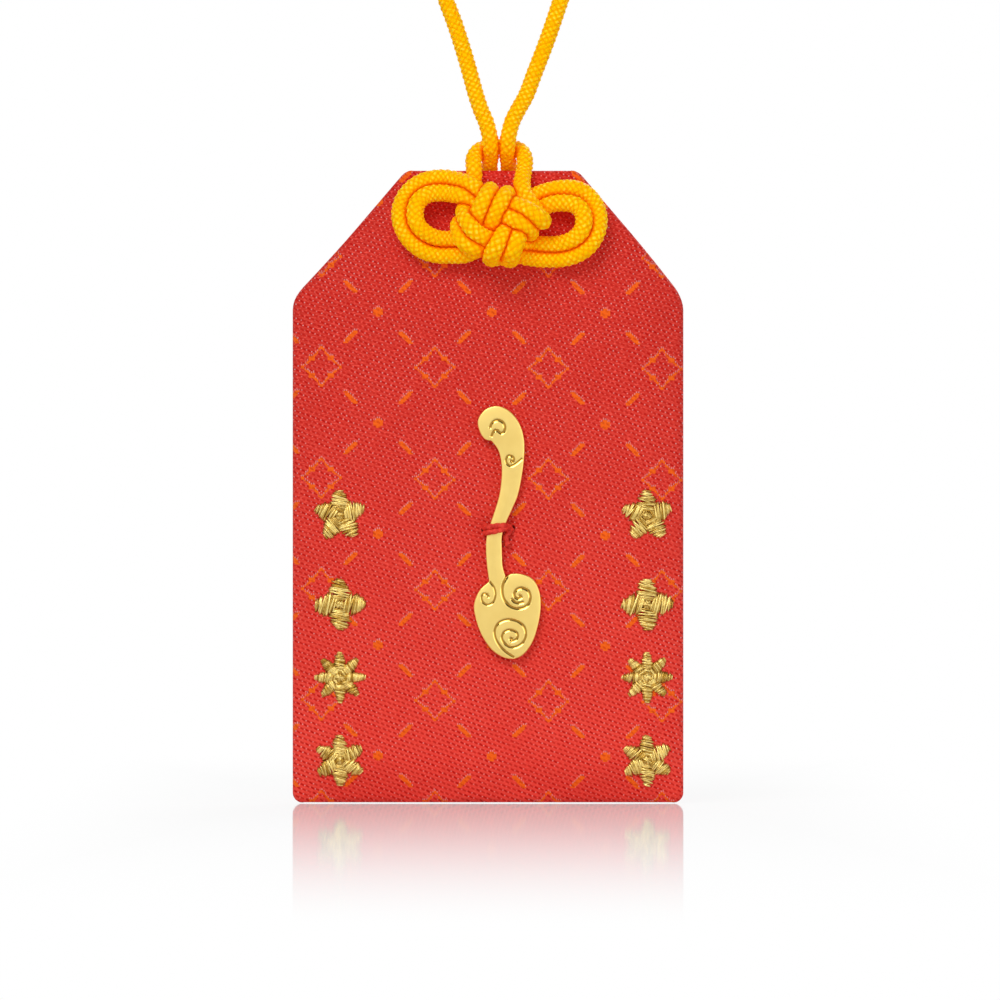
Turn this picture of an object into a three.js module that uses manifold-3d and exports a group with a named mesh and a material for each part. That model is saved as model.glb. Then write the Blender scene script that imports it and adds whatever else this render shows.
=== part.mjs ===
// An omamori charm: a brocade pouch with a paper-wrapped card inside, a gold sceptre charm sewn to its
// front, gold embroidery, and one cord that ties it with a double loop knot and hangs it.
// Millimetres, +Z up, the front faces -Y. The origin is under the top of the hanging loop, where a hook bears.
import * as THREE from 'three';
import { mergeVertices } from 'three/addons/utils/BufferGeometryUtils.js';
import Module from 'manifold-3d';

// Pouch outline
const POUCH_HEIGHT = 80;
const POUCH_WIDTH = 49.5;
const TOP_WIDTH = 21.6; // straight top edge between the two gable slopes
const GABLE_DROP = 15.6; // from the top edge down to the shoulders
const SHOULDER_BLEND = 2.4;
const BOTTOM_CORNER = 1.3;
const TOP_CORNER = 1;
const SIDE_MARGIN = 6; // soft border where the cloth falls away from the card to the seam
const TOP_MARGIN = 14; // the same at the top, where the cord pinches the pouch

// Sheet thicknesses and clearances
const CLOTH = 0.6;
const LINING = 0.3;
const PAPER = 0.25;
const CARD = 0.8;
const STACK_GAP = 0.15; // between flat sheets that lie on each other
const CLEARANCE = 0.3; // between pieces that touch on the real charm

// Pieces inside
const CARD_WIDTH = 34;
const CARD_HEIGHT = 54;
const CARD_BASE = 3.2; // height of the card's lower edge above the pouch's bottom edge
const LINING_INSET = 0.4; // from the edge of the flat middle of the pouch
const LINING_CORNER = 2;
const SEAM_THREAD = 0.5;
const SEAM_INSET = 1.2;
const SEAM_CORNER = 5;
const SEAM_TOP_DROP = 7; // the seam stops this far below the top edge

// Gold charm and the thread that ties it on
const CHARM_THICKNESS = 1.1;
const CHARM_BEVEL = 0.2;
const TIE_X = 0.9; // place of the tie on the pouch's front
const TIE_HEIGHT = 34.6;
const TIE_THREAD = 0.35;
const TIE_HALF_WIDTH = 2.1;
const TIE_TURNS = 2;
const TIE_PITCH = 0.8;
const TIE_SQUARENESS = 0.6; // 1 is an ellipse round the stem, smaller is squarer

// Embroidered rosettes, two columns of four
const ROSETTE_LEFT_X = -18.7;
const ROSETTE_RIGHT_X = 20.1;
const ROSETTE_HEIGHTS = [36.3, 25.1, 15.9, 5.4];
const ROSETTE_PETALS = [5, 4, 8, 6];
const ROSETTE_RADIUS = 3.3;
const STITCH_HEIGHT = 0.45;

// Cord
const CORD = 2.1; // the free loop
const KNOT_CORD = 1.4; // drawn thinner where the tight knot squeezes it
const KNOT_X = 1.4; // the knot hangs a little right of the pouch's middle
const CORD_LIFT = 1; // free loop's middle in front of the cloth's front face
const NECK_LENGTH = 3;
const NECK_GAP = 0.6;
const HOLE_WIDTH = 4.2;
const HOLE_HEIGHT = 2.5;
const HOLE_DROP = 5.5; // from the top edge to the middle of the cord hole

const wasm = await Module();
wasm.setup();

const HALF_WIDTH = POUCH_WIDTH / 2;
const EDGE_HALF = CLOTH + CLEARANCE / 2;
const SLEEVE_HALF = CARD / 2 + STACK_GAP + PAPER;
const LINING_FACE = SLEEVE_HALF + STACK_GAP + LINING;
const THREAD_SPACE = TIE_THREAD + 2 * STACK_GAP;
const MIDDLE_HALF = LINING_FACE + THREAD_SPACE + CLOTH;
const CROWN = MIDDLE_HALF - EDGE_HALF;

// Smaller of two values, rounded off where they are nearer than the blend.
function softMin(a, b, blend) {
  const near = Math.max(blend - Math.abs(a - b), 0) / blend;
  return Math.min(a, b) - (near * near * blend) / 4;
}

// How far a round corner pulls the side in, at a distance from the corner's edge.
function cornerPull(distance, radius) {
  if (distance >= radius) return 0;
  return radius - Math.sqrt(radius ** 2 - (radius - distance) ** 2);
}

// Half the pouch's width at a height.
function halfWidth(z) {
  const slope = TOP_WIDTH / 2 + ((POUCH_HEIGHT - z) * (HALF_WIDTH - TOP_WIDTH / 2)) / GABLE_DROP;
  const side = softMin(HALF_WIDTH, slope, SHOULDER_BLEND);
  return side - cornerPull(z, BOTTOM_CORNER) - cornerPull(POUCH_HEIGHT - z, TOP_CORNER);
}

// Rises from 0 at the edge to 1 where the soft border ends, and stays there.
function rise(distance, margin) {
  const share = Math.min(1, Math.max(0, distance / margin));
  return Math.sin((Math.PI / 2) * share);
}

// Half the pouch's thickness at a point of its front.
function halfDepth(x, z) {
  const across = rise(halfWidth(Math.min(z, POUCH_HEIGHT)) - Math.abs(x), SIDE_MARGIN);
  const along = rise(z, SIDE_MARGIN) * rise(POUCH_HEIGHT - z, TOP_MARGIN);
  return EDGE_HALF + CROWN * across * along;
}

// A closed geometry as a solid that can be joined and cut.
function toSolid(geometry) {
  const bare = geometry.clone();
  bare.deleteAttribute('normal');
  bare.deleteAttribute('uv');
  const merged = mergeVertices(bare);
  return new wasm.Manifold(new wasm.Mesh({
    numProp: 3,
    vertProperties: new Float32Array(merged.attributes.position.array),
    triVerts: new Uint32Array(merged.index.array),
  }));
}

function toGeometry(solid) {
  const mesh = solid.getMesh();
  const geometry = new THREE.BufferGeometry();
  geometry.setAttribute('position', new THREE.BufferAttribute(mesh.vertProperties, 3));
  geometry.setIndex(new THREE.BufferAttribute(mesh.triVerts, 1));
  return geometry;
}

function cutBy(geometry, tools) {
  let solid = toSolid(geometry);
  for (const tool of tools) solid = solid.subtract(toSolid(tool));
  return toGeometry(solid);
}

function fromTriangles(points, triangles) {
  const geometry = new THREE.BufferGeometry();
  geometry.setAttribute('position', new THREE.Float32BufferAttribute(points.flat(), 3));
  geometry.setIndex(triangles.flat());
  return geometry;
}

function ring(radius, sides) {
  return Array.from({ length: sides }, (_, k) => {
    const angle = (2 * Math.PI * k) / sides;
    return new THREE.Vector2(radius * Math.cos(angle), radius * Math.sin(angle));
  });
}

function smoothCurve(points) {
  const curve = new THREE.CatmullRomCurve3(points, false, 'centripetal');
  curve.arcLengthDivisions = points.length * 20;
  return curve;
}

function tubeAlong(curve, diameter, sides, stepLength) {
  const section = new THREE.Shape(ring(diameter / 2, sides));
  const steps = Math.ceil(curve.getLength() / stepLength);
  return new THREE.ExtrudeGeometry(section, { steps, extrudePath: curve, bevelEnabled: false });
}

// The stretch of a curve between two lengths along it.
function stretch(curve, from, to, count) {
  const length = curve.getLength();
  const points = Array.from({ length: count }, (_, k) =>
    curve.getPointAt((from + ((to - from) * k) / (count - 1)) / length));
  return smoothCurve(points);
}

// Least gap of a tube to itself, past the neighbours that belong to the same bend.
function selfGap(curve, diameter) {
  const length = curve.getLength();
  const count = Math.round((length * 5) / diameter);
  const points = curve.getSpacedPoints(count);
  const skip = Math.ceil((3 * diameter * count) / length);
  let least = Infinity;
  for (let i = 0; i <= count; i += 1) {
    for (let j = i + skip; j <= count; j += 1) least = Math.min(least, points[i].distanceTo(points[j]));
  }
  return least - diameter;
}

// Rows and columns of the cloth: close together in the soft borders and at the shoulders, wide apart
// on the flat middle.
const BORDER_SHARES = [0, 0.04, 0.11, 0.22, 0.4, 0.66, 1];
const SHOULDER_SHARES = [-1, -0.5, 0, 0.5];
const TOP_SHARES = [0, 0.02, 0.07, 0.16, 0.3, 0.45, 0.6, 0.78, 1];
const MIDDLE_ROWS = 3;
const MIDDLE_COLUMNS = 5;

function rowHeights() {
  const shoulder = POUCH_HEIGHT - GABLE_DROP;
  const bend = (SHOULDER_BLEND * GABLE_DROP) / (HALF_WIDTH - TOP_WIDTH / 2);
  const flat = shoulder - bend - SIDE_MARGIN;
  const rows = BORDER_SHARES.map((share) => share * SIDE_MARGIN);
  for (let k = 1; k < MIDDLE_ROWS; k += 1) rows.push(SIDE_MARGIN + (flat * k) / MIDDLE_ROWS);
  const bends = SHOULDER_SHARES.map((share) => shoulder + share * bend);
  const slopes = TOP_SHARES.map((share) => POUCH_HEIGHT - share * (GABLE_DROP - bend));
  return rows.concat(bends, slopes.reverse());
}

function columnPlaces(z) {
  const width = halfWidth(z);
  const flat = Math.max(0, width - SIDE_MARGIN);
  const left = BORDER_SHARES.map((share) => -width + share * (width - flat));
  const middle = [];
  for (let k = 1; k < MIDDLE_COLUMNS; k += 1) middle.push(-flat + (2 * flat * k) / MIDDLE_COLUMNS);
  return left.concat(middle, left.map((x) => -x).reverse());
}

// One cloth panel: an outer and an inner surface a cloth's thickness apart, closed round the rim.
// The side is -1 for the front and 1 for the back.
function clothPanel(side) {
  const rows = rowHeights();
  const columns = columnPlaces(0).length;
  const points = [];
  for (const inset of [0, CLOTH]) {
    for (const z of rows) {
      for (const x of columnPlaces(z)) points.push([x, side * (halfDepth(x, z) - inset), z]);
    }
  }
  const layer = rows.length * columns;
  const triangles = [];
  const quad = (a, b, c, d) => {
    const corners = side < 0 ? [a, b, c, d] : [d, c, b, a];
    triangles.push([corners[0], corners[1], corners[2]], [corners[0], corners[2], corners[3]]);
  };
  const at = (row, column) => row * columns + column;
  const last = { row: rows.length - 1, column: columns - 1 };
  for (let r = 0; r < last.row; r += 1) {
    for (let c = 0; c < last.column; c += 1) {
      const face = [at(r, c), at(r, c + 1), at(r + 1, c + 1), at(r + 1, c)];
      quad(...face);
      quad(...face.reverse().map((index) => index + layer));
    }
    quad(at(r, 0), at(r + 1, 0), at(r + 1, 0) + layer, at(r, 0) + layer);
    quad(at(r + 1, last.column), at(r, last.column), at(r, last.column) + layer, at(r + 1, last.column) + layer);
  }
  for (let c = 0; c < last.column; c += 1) {
    quad(at(0, c + 1), at(0, c), at(0, c) + layer, at(0, c + 1) + layer);
    quad(at(last.row, c), at(last.row, c + 1), at(last.row, c + 1) + layer, at(last.row, c) + layer);
  }
  return fromTriangles(points, triangles);
}

// Slot for the two strands of cord that pass through both panels.
function cordHole() {
  const depth = 4 * MIDDLE_HALF;
  const hole = new THREE.BoxGeometry(HOLE_WIDTH, depth, HOLE_HEIGHT);
  return hole.translate(KNOT_X, 0, POUCH_HEIGHT - HOLE_DROP);
}

// Slots where the tie thread passes through the front panel.
function tieSlots() {
  const width = TIE_THREAD + 2 * CLEARANCE;
  const height = TIE_TURNS * TIE_PITCH + TIE_THREAD + 2 * CLEARANCE;
  return [-1, 1].map((side) => {
    const slot = new THREE.BoxGeometry(width, 2 * MIDDLE_HALF, height);
    const x = TIE_X + side * (TIE_HALF_WIDTH - CLEARANCE / 2);
    return slot.translate(x, -MIDDLE_HALF - CLOTH / 2, TIE_HEIGHT);
  });
}

function roundedRectangle(width, height, radius) {
  const shape = new THREE.Shape();
  const x = width / 2 - radius;
  const y = height / 2 - radius;
  shape.absarc(x, y, radius, 0, Math.PI / 2);
  shape.absarc(-x, y, radius, Math.PI / 2, Math.PI);
  shape.absarc(-x, -y, radius, Math.PI, 1.5 * Math.PI);
  shape.absarc(x, -y, radius, 1.5 * Math.PI, 2 * Math.PI);
  return shape;
}

// Flat sheet of stiffening behind one panel, upright, with its inner face towards the card.
function liningSheet(side) {
  const width = POUCH_WIDTH - 2 * SIDE_MARGIN - 2 * LINING_INSET;
  const low = SIDE_MARGIN + LINING_INSET;
  const high = POUCH_HEIGHT - Math.max(TOP_MARGIN, GABLE_DROP) - LINING_INSET;
  const shape = roundedRectangle(width, high - low, LINING_CORNER);
  const sheet = new THREE.ExtrudeGeometry(shape, { depth: LINING, bevelEnabled: false, curveSegments: 4 });
  sheet.translate(0, 0, -LINING / 2);
  sheet.rotateX(Math.PI / 2);
  return sheet.translate(0, side * (LINING_FACE - LINING / 2), (low + high) / 2);
}

// Stitching line along the sides and bottom, inside the edge.
function seamThread() {
  const sideX = HALF_WIDTH - SEAM_INSET;
  const topZ = POUCH_HEIGHT - SEAM_TOP_DROP;
  const shoulderZ = POUCH_HEIGHT - GABLE_DROP;
  const reach = SEAM_CORNER * (1 - Math.SQRT1_2);
  const slope = [topZ, (topZ + shoulderZ) / 2, shoulderZ].map((z) => [-halfWidth(z) + 1.5 * SEAM_INSET, z]);
  const left = [
    ...slope,
    [-sideX, shoulderZ - SEAM_CORNER],
    [-sideX, (shoulderZ + SEAM_CORNER) / 2],
    [-sideX, SEAM_INSET + SEAM_CORNER],
    [-sideX + reach, SEAM_INSET + reach],
    [-sideX + SEAM_CORNER, SEAM_INSET],
  ];
  const right = left.map(([x, z]) => [-x, z]).reverse();
  const points = [...left, [0, SEAM_INSET], ...right].map(([x, z]) => new THREE.Vector3(x, 0, z));
  return tubeAlong(smoothCurve(points), SEAM_THREAD, 6, 3.5);
}

function card() {
  const board = new THREE.BoxGeometry(CARD_WIDTH, CARD, CARD_HEIGHT);
  return board.translate(0, 0, CARD_BASE + CARD_HEIGHT / 2);
}

// Paper folded round the card, open at both ends.
function paperSleeve() {
  const inner = { width: CARD_WIDTH + 2 * STACK_GAP, depth: CARD + 2 * STACK_GAP };
  const outer = { width: inner.width + 2 * PAPER, depth: inner.depth + 2 * PAPER };
  const box = (size, height) => new THREE.BoxGeometry(size.width, size.depth, height);
  const sleeve = cutBy(box(outer, CARD_HEIGHT), [box(inner, 2 * CARD_HEIGHT)]);
  return sleeve.translate(0, 0, CARD_BASE + CARD_HEIGHT / 2);
}

// Edges of the sceptre charm, as offsets from its tie: down the left of the stem, round the head,
// and up the right side over the top scroll. They meet in three notches.
const STEM_LEFT = [
  [-0.4, 11.2], [0.4, 10.1], [0.8, 8.7], [0.9, 7.1], [0.6, 4.4], [0, 2.3], [-0.6, 0.5], [-1, -0.9],
  [-1.1, -2.3], [-1, -4.3], [-0.7, -6.6],
];
const HEAD_EDGE = [
  [-1.9, -7.7], [-2.6, -9.5], [-2.4, -11.2], [-1.5, -13.6], [0, -15.5], [1.8, -16.3], [3.2, -16],
  [4.5, -14.5], [5.3, -12.3], [5.7, -9.7], [5.5, -7.8], [4.7, -6.3], [3.3, -5.7], [2, -5.7], [1.3, -6.1],
];
const STEM_RIGHT = [
  [0.9, -4.7], [0.8, -2.7], [0.8, -0.9], [1.3, 0.8], [2.1, 2.6], [2.8, 4.3], [3.3, 6.7], [3.6, 9.1],
  [3.6, 11.1], [3.2, 12.9], [2.3, 14.4], [1.1, 15.3], [0, 15.5], [-1.3, 15], [-2.1, 13.8], [-1.9, 12.4],
  [-1.2, 11.4], [-0.4, 11.2],
];

function sceptreCharm() {
  const outline = new THREE.Shape();
  outline.moveTo(...STEM_LEFT[0]);
  for (const edge of [STEM_LEFT.slice(1), HEAD_EDGE, STEM_RIGHT]) {
    outline.splineThru(edge.map(([x, z]) => new THREE.Vector2(x, z)));
  }
  const charm = new THREE.ExtrudeGeometry(outline, {
    depth: CHARM_THICKNESS - 2 * CHARM_BEVEL,
    curveSegments: 2,
    bevelSegments: 1,
    bevelThickness: CHARM_BEVEL,
    bevelSize: CHARM_BEVEL,
    bevelOffset: -CHARM_BEVEL,
  });
  charm.translate(0, 0, CHARM_BEVEL);
  charm.rotateX(Math.PI / 2);
  return charm.translate(TIE_X, -MIDDLE_HALF - CLEARANCE, TIE_HEIGHT);
}

// Thread wound round the charm's stem and through the front panel.
function tieWinding() {
  const front = -MIDDLE_HALF - 2 * CLEARANCE - CHARM_THICKNESS - TIE_THREAD / 2;
  const back = -LINING_FACE - STACK_GAP - TIE_THREAD / 2;
  const squared = (value) => Math.sign(value) * Math.abs(value) ** TIE_SQUARENESS;
  const stepsInTurn = 24;
  const points = [];
  for (let k = 0; k <= TIE_TURNS * stepsInTurn; k += 1) {
    const angle = (2 * Math.PI * k) / stepsInTurn;
    const x = TIE_X + TIE_HALF_WIDTH * squared(Math.sin(angle));
    const y = (front + back) / 2 + ((back - front) / 2) * squared(Math.cos(angle));
    const z = TIE_HEIGHT + TIE_PITCH * (k / stepsInTurn - TIE_TURNS / 2);
    points.push(new THREE.Vector3(x, y, z));
  }
  const curve = smoothCurve(points);
  console.log('least gap in the tie winding', selfGap(curve, TIE_THREAD).toFixed(2), 'mm');
  return tubeAlong(curve, TIE_THREAD, 6, 0.5);
}

// A raised rosette of stitches that follows the cloth's front.
function rosette(petals, centreX, centreZ) {
  const spread = (0.86 * Math.PI) / petals;
  const edge = [];
  for (let k = 0; k < petals; k += 1) {
    const middle = Math.PI / 2 + (2 * Math.PI * k) / petals;
    edge.push([middle - spread, 0.42], [middle - 0.8 * spread, 0.82], [middle, 1]);
    edge.push([middle + 0.8 * spread, 0.82], [middle + spread, 0.42]);
  }
  const place = (angle, share, lift) => {
    const x = centreX + ROSETTE_RADIUS * share * Math.cos(angle);
    const z = centreZ + ROSETTE_RADIUS * share * Math.sin(angle);
    return [x, -halfDepth(x, z) - CLEARANCE - lift, z];
  };
  const points = [];
  for (const lift of [STITCH_HEIGHT, 0]) {
    points.push(place(0, 0, lift));
    for (const scale of [0.5, 1]) points.push(...edge.map(([angle, share]) => place(angle, scale * share, lift)));
  }
  const count = edge.length;
  const layer = 1 + 2 * count;
  const triangles = [];
  for (let k = 0; k < count; k += 1) {
    const a = 1 + k;
    const b = 1 + ((k + 1) % count);
    const face = [[0, a, b], [a, a + count, b + count], [a, b + count, b]];
    triangles.push(...face, ...face.map(([i, j, m]) => [m + layer, j + layer, i + layer]));
    triangles.push([a + count, a + count + layer, b + count + layer]);
    triangles.push([a + count, b + count + layer, b + count]);
  }
  return fromTriangles(points, triangles);
}

// Route of the knotted cord, stretch by stretch: sideways from the knot's middle, up from the pouch's
// top edge, and out from the cloth's front.
const BEHIND_POUCH = [
  [-1.6, 6.05, 1], [-1.2, 4.3, 1], [-1.1, 2.8, 0.5], [-1.05, 1.75, -0.5], [-1.05, 1.15, -1.4],
  [-1.05, 0.55, -2.15], [-1.05, -0.15, -2.9], [-1.05, -1.25, -3.4], [-1.05, -2.8, -3.9],
  [-1.05, -4.15, -4.35], [-1.05, -5.2, -3.9], [-1.05, -5.6, -2.8], [-1.05, -5.6, -1.5],
  [-1.05, -5.45, -0.5], [-1.05, -5.1, 0.3], [-1.05, -4.55, 0.95], [-1.05, -3.75, 1.2],
];
const TOP_BAND_LEFT = [
  [-1.05, -2.8, 1.25], [-1.05, -2, 1.75], [-1.05, -1.65, 2.6], [-1.05, -1.6, 3.65],
  [-1.15, -1.95, 4.8], [-1.45, -2.9, 5.7], [-2, -4.3, 5.95], [-2.4, -5.55, 5.3],
  [-2.65, -6.55, 4.15], [-3.2, -7.5, 3.05], [-4.15, -8.4, 2.4], [-6.05, -8.6, 1.65],
];
const LEFT_EAR_INNER = [
  [-7.85, -8.35, 1.4], [-9.5, -7.65, 1.4], [-10.35, -6.65, 1.4], [-10.6, -5.3, 1.4],
  [-10.25, -4.05, 1.4], [-9.1, -3.05, 1.4], [-7.35, -2.8, 1.4], [-5.95, -2.9, 2.15],
];
const RIGHT_BAND_LOWER = [
  [-4.7, -3.35, 3.3], [-3.55, -4.1, 3.3], [-2.4, -5, 3.05], [-1.15, -5.55, 3.05], [0, -5.75, 3.65],
  [0.95, -5.8, 4.8], [1.75, -6.2, 5.5], [2.8, -6.65, 5.95], [3.8, -7.2, 5.55], [4.6, -7.7, 4.7],
  [4.75, -8.1, 3.3], [4.05, -8.2, 1.7], [2.15, -7.95, 1.2],
];
const LEFT_BAND_LOWER = [
  [-0.15, -7.6, 1.2], [-2.65, -7.2, 1.2], [-4.05, -6.8, 1.2], [-5.25, -6.8, 1.65], [-5.8, -7.1, 2.9],
  [-5.45, -7.95, 4.3], [-4.55, -8.9, 5.05], [-3.4, -9.75, 5.05], [-2.15, -10.45, 4.15],
  [-0.65, -11, 3.3], [1, -11.25, 2.7], [2.4, -11.5, 2.1], [3.55, -11.75, 1.65],
];
const RIGHT_EAR_OUTER = [
  [5.2, -11.95, 1.4], [7.1, -12, 1.4], [9.25, -11.65, 1.4], [11, -10.6, 1.4], [12.3, -8.95, 1.4],
  [12.85, -6.7, 1.4], [12.5, -4.8, 1.4], [11.35, -3.15, 1.4], [9.75, -2.25, 1.4], [7.95, -2.15, 1.4],
  [6.3, -2.55, 1.35], [4.95, -3.05, 1.2],
];
const BOTTOM_BAND_LEFT = [
  [3.8, -3.55, 1.2], [2.95, -4.15, 1.25], [2.4, -5.05, 1.9], [1.95, -5.9, 2.25], [1.5, -6.65, 2.9],
  [1.1, -7.4, 3.55], [0.75, -8.1, 4.6], [0.25, -9.05, 5.75], [-0.4, -10.35, 5.95],
  [-0.95, -11.55, 5.45], [-1.1, -12.5, 4.3],
];
const BOTTOM_TURN = [
  [-1.1, -12.9, 3.05], [-0.7, -12.95, 2.1], [0.2, -12.95, 1.65], [1.15, -13.1, 2.1], [1.5, -13.15, 3.05],
];
const BOTTOM_BAND_RIGHT = [
  [1.6, -12.75, 4.3], [1.7, -11.9, 5.45], [2, -10.6, 5.95], [2.35, -9.35, 5.55], [2.65, -8.35, 4.55],
  [2.9, -7.5, 3.5], [3.4, -6.65, 2.25], [4.15, -5.8, 1.5],
];
const RIGHT_EAR_INNER = [
  [5.2, -5, 1.35], [6.45, -4.4, 1.35], [8, -4.15, 1.4], [9.35, -4.55, 1.4], [10.35, -5.45, 1.4],
  [10.8, -6.7, 1.4], [10.45, -8.1, 1.4], [9.35, -9.25, 1.4], [7.6, -10, 1.4], [5.7, -10.05, 1.4],
  [4.05, -9.9, 1.65],
];
const LEFT_BAND_UPPER = [
  [2.25, -9.65, 2.85], [0.4, -9.35, 3.55], [-0.65, -9.25, 4], [-1.4, -8.8, 4.85],
  [-2.15, -8.3, 5.55], [-2.95, -7.6, 5.95], [-3.85, -6.8, 5.8], [-4.4, -6.05, 5.05],
  [-4.7, -5.55, 3.8], [-4.65, -5.3, 2.55], [-4.35, -4.55, 1.4], [-3.9, -3.3, 1.2],
];
const ARCH = [
  [-3.55, -2.25, 1.2], [-3.2, -1.25, 1.2], [-3.2, -0.25, 1.2], [-3.3, 0.5, 0.75], [-3.3, 1.5, -0.15],
  [-2.65, 2.45, -1.15], [-1.5, 2.9, -2.15], [0.05, 3.05, -2.65], [1.65, 2.9, -2.15],
  [2.8, 2.45, -1.15], [3.35, 1.5, -0.15], [3.35, 0.5, 0.75], [3.3, -0.4, 1.35], [3.2, -1.75, 2.55],
];
const RIGHT_BAND_UPPER = [
  [3.35, -3.05, 3.3], [4.05, -4.15, 3.55], [5.2, -5.35, 3.4], [6, -6.2, 3.6], [6.5, -6.75, 4.3],
  [6.5, -6.75, 5.3], [5.95, -6.25, 5.95], [4.95, -5.5, 6.15], [3.65, -4.75, 6], [2.25, -4.35, 5.2],
  [1.4, -4.25, 4.05], [0.5, -4.05, 3.55], [-0.5, -3.75, 3.5], [-1.65, -3.3, 3.6],
  [-2.65, -2.6, 3.65], [-3.75, -1.95, 3.3],
];
const LEFT_EAR_OUTER = [
  [-4.4, -1.6, 2.9], [-5.2, -1.25, 2.15], [-6.8, -0.8, 1.4], [-8.7, -0.95, 1.4], [-10.6, -1.75, 1.4],
  [-12, -3.35, 1.4], [-12.65, -5.2, 1.4], [-12.45, -7.1, 1.4], [-11.45, -8.95, 1.4],
  [-9.75, -10.35, 1.4], [-7.85, -10.95, 1.4], [-6.05, -11.05, 1.45],
];
const TOP_BAND_RIGHT = [
  [-4.4, -10.8, 1.75], [-2.9, -10.15, 2.15], [-1.9, -9.25, 2.35], [-1.25, -8.15, 2.7],
  [-0.95, -7.15, 3.9], [-0.55, -6.05, 5.35], [0.05, -4.75, 6.05], [0.75, -3.4, 5.8],
  [1.05, -2.45, 4.7], [1.05, -2.15, 3.65], [1.05, -2.15, 2.65], [1, -2.45, 1.85], [1, -3.1, 1.35],
];
// Route of the free loop above the knot, sideways from the knot's middle and up from the top edge.
const FREE_LOOP = [
  [-1.6, 6.05], [-2.3, 7.6], [-2.9, 9.4], [-3.7, 12.3], [-4.6, 15.4], [-5.6, 18.5], [-6.7, 21.5],
  [-7.6, 24.6], [-8, 27.8], [-7.5, 30.8], [-6.2, 33.4], [-4.2, 35.1], [-1.4, 36.1], [0.5, 36.3], [2.9, 36],
  [5.3, 35.1], [7.5, 33.5], [8.8, 31.1], [9.3, 27.9], [8.8, 24.6], [7.8, 21.5], [6.8, 18.5], [5.7, 15.4],
  [4.5, 12.3], [3.4, 9.4], [2.4, 7.6], [1.6, 6.05],
];
const LOOP_TOP_RISE = 36.1; // middle of the loop's cord above the top edge, over the pouch's middle
const HANG_HEIGHT = POUCH_HEIGHT + LOOP_TOP_RISE - CORD / 2;

function knotRoute() {
  const mirrored = BEHIND_POUCH.map(([x, z, lift]) => [-x, z, lift]).reverse();
  const route = [
    BEHIND_POUCH, TOP_BAND_LEFT, LEFT_EAR_INNER, RIGHT_BAND_LOWER, LEFT_BAND_LOWER, RIGHT_EAR_OUTER,
    BOTTOM_BAND_LEFT, BOTTOM_TURN, BOTTOM_BAND_RIGHT, RIGHT_EAR_INNER, LEFT_BAND_UPPER, ARCH,
    RIGHT_BAND_UPPER, LEFT_EAR_OUTER, TOP_BAND_RIGHT, mirrored,
  ].flat();
  return smoothCurve(route.map(([sideways, up, lift]) => {
    const x = KNOT_X + sideways;
    const z = POUCH_HEIGHT + up;
    return new THREE.Vector3(x, -halfDepth(x, z) - lift, z);
  }));
}

function loopRoute() {
  const y = -EDGE_HALF - CORD_LIFT;
  return smoothCurve(FREE_LOOP.map(([sideways, up]) =>
    new THREE.Vector3(KNOT_X + sideways, y, POUCH_HEIGHT + up)));
}

const brocade = { color: 0xd8252a, roughness: 0.6 };
const interlining = { color: 0xe9e4da, roughness: 0.9 };
const redThread = { color: 0xb81d20, roughness: 0.7 };
const yellowCord = { color: 0xfdbb12, roughness: 0.65 };
const goldThread = { color: 0xc9a13a, roughness: 0.45, metalness: 0.6 };
const gold = { color: 0xe6c04f, roughness: 0.35, metalness: 1 };
const whitePaper = { color: 0xf6f3ea, roughness: 0.9 };
const board = { color: 0xc7ab7d, roughness: 0.85 };

const omamori = new THREE.Group();
const pouch = new THREE.Group();
omamori.add(pouch);
pouch.position.set(0, EDGE_HALF + CORD_LIFT, -HANG_HEIGHT);

function addPiece(name, geometry, finish) {
  const mesh = new THREE.Mesh(geometry, new THREE.MeshStandardMaterial(finish));
  mesh.name = name;
  pouch.add(mesh);
}

const knot = knotRoute();
const loop = loopRoute();
const loopLength = loop.getLength();
const neckEnd = NECK_GAP + NECK_LENGTH;
const necks = {
  left: stretch(loop, NECK_GAP, neckEnd, 4),
  right: stretch(loop, loopLength - neckEnd, loopLength - NECK_GAP, 4),
};
console.log('cord in the knot', knot.getLength().toFixed(0), 'mm, free loop', loopLength.toFixed(0), 'mm');
console.log('least gap in the knot', selfGap(knot, KNOT_CORD).toFixed(2), 'mm');

addPiece('front_panel', cutBy(clothPanel(-1), [cordHole(), ...tieSlots()]), brocade);
addPiece('back_panel', cutBy(clothPanel(1), [cordHole()]), brocade);
addPiece('front_lining', liningSheet(-1), interlining);
addPiece('back_lining', liningSheet(1), interlining);
addPiece('seam_thread', seamThread(), redThread);
addPiece('talisman_card', card(), board);
addPiece('talisman_paper', paperSleeve(), whitePaper);
addPiece('sceptre_charm', sceptreCharm(), gold);
addPiece('charm_tie_thread', tieWinding(), redThread);
for (const [side, x] of [['left', ROSETTE_LEFT_X], ['right', ROSETTE_RIGHT_X]]) {
  ROSETTE_HEIGHTS.forEach((z, k) => {
    addPiece(`embroidery_${side}_${k + 1}`, rosette(ROSETTE_PETALS[k], x, z), goldThread);
  });
}
addPiece('knot_cord', tubeAlong(knot, KNOT_CORD, 8, 1.1), yellowCord);
addPiece('loop_neck_left', tubeAlong(necks.left, CORD, 8, 1.5), yellowCord);
addPiece('loop_neck_right', tubeAlong(necks.right, CORD, 8, 1.5), yellowCord);
const freeLoop = stretch(loop, neckEnd + NECK_GAP, loopLength - neckEnd - NECK_GAP, FREE_LOOP.length);
addPiece('hanging_loop', tubeAlong(freeLoop, CORD, 8, 2), yellowCord);

export default omamori;
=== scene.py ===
# %% [markdown]
# # An omamori charm
# A flat brocade pouch with a gold sceptre charm sewn to its front and a braided cord tied above it.
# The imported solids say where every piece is. This lesson dresses them: a finely modelled piece takes the
# place of each solid, except for the card inside, which only gets a finish.

# %% The frame
import math

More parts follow.
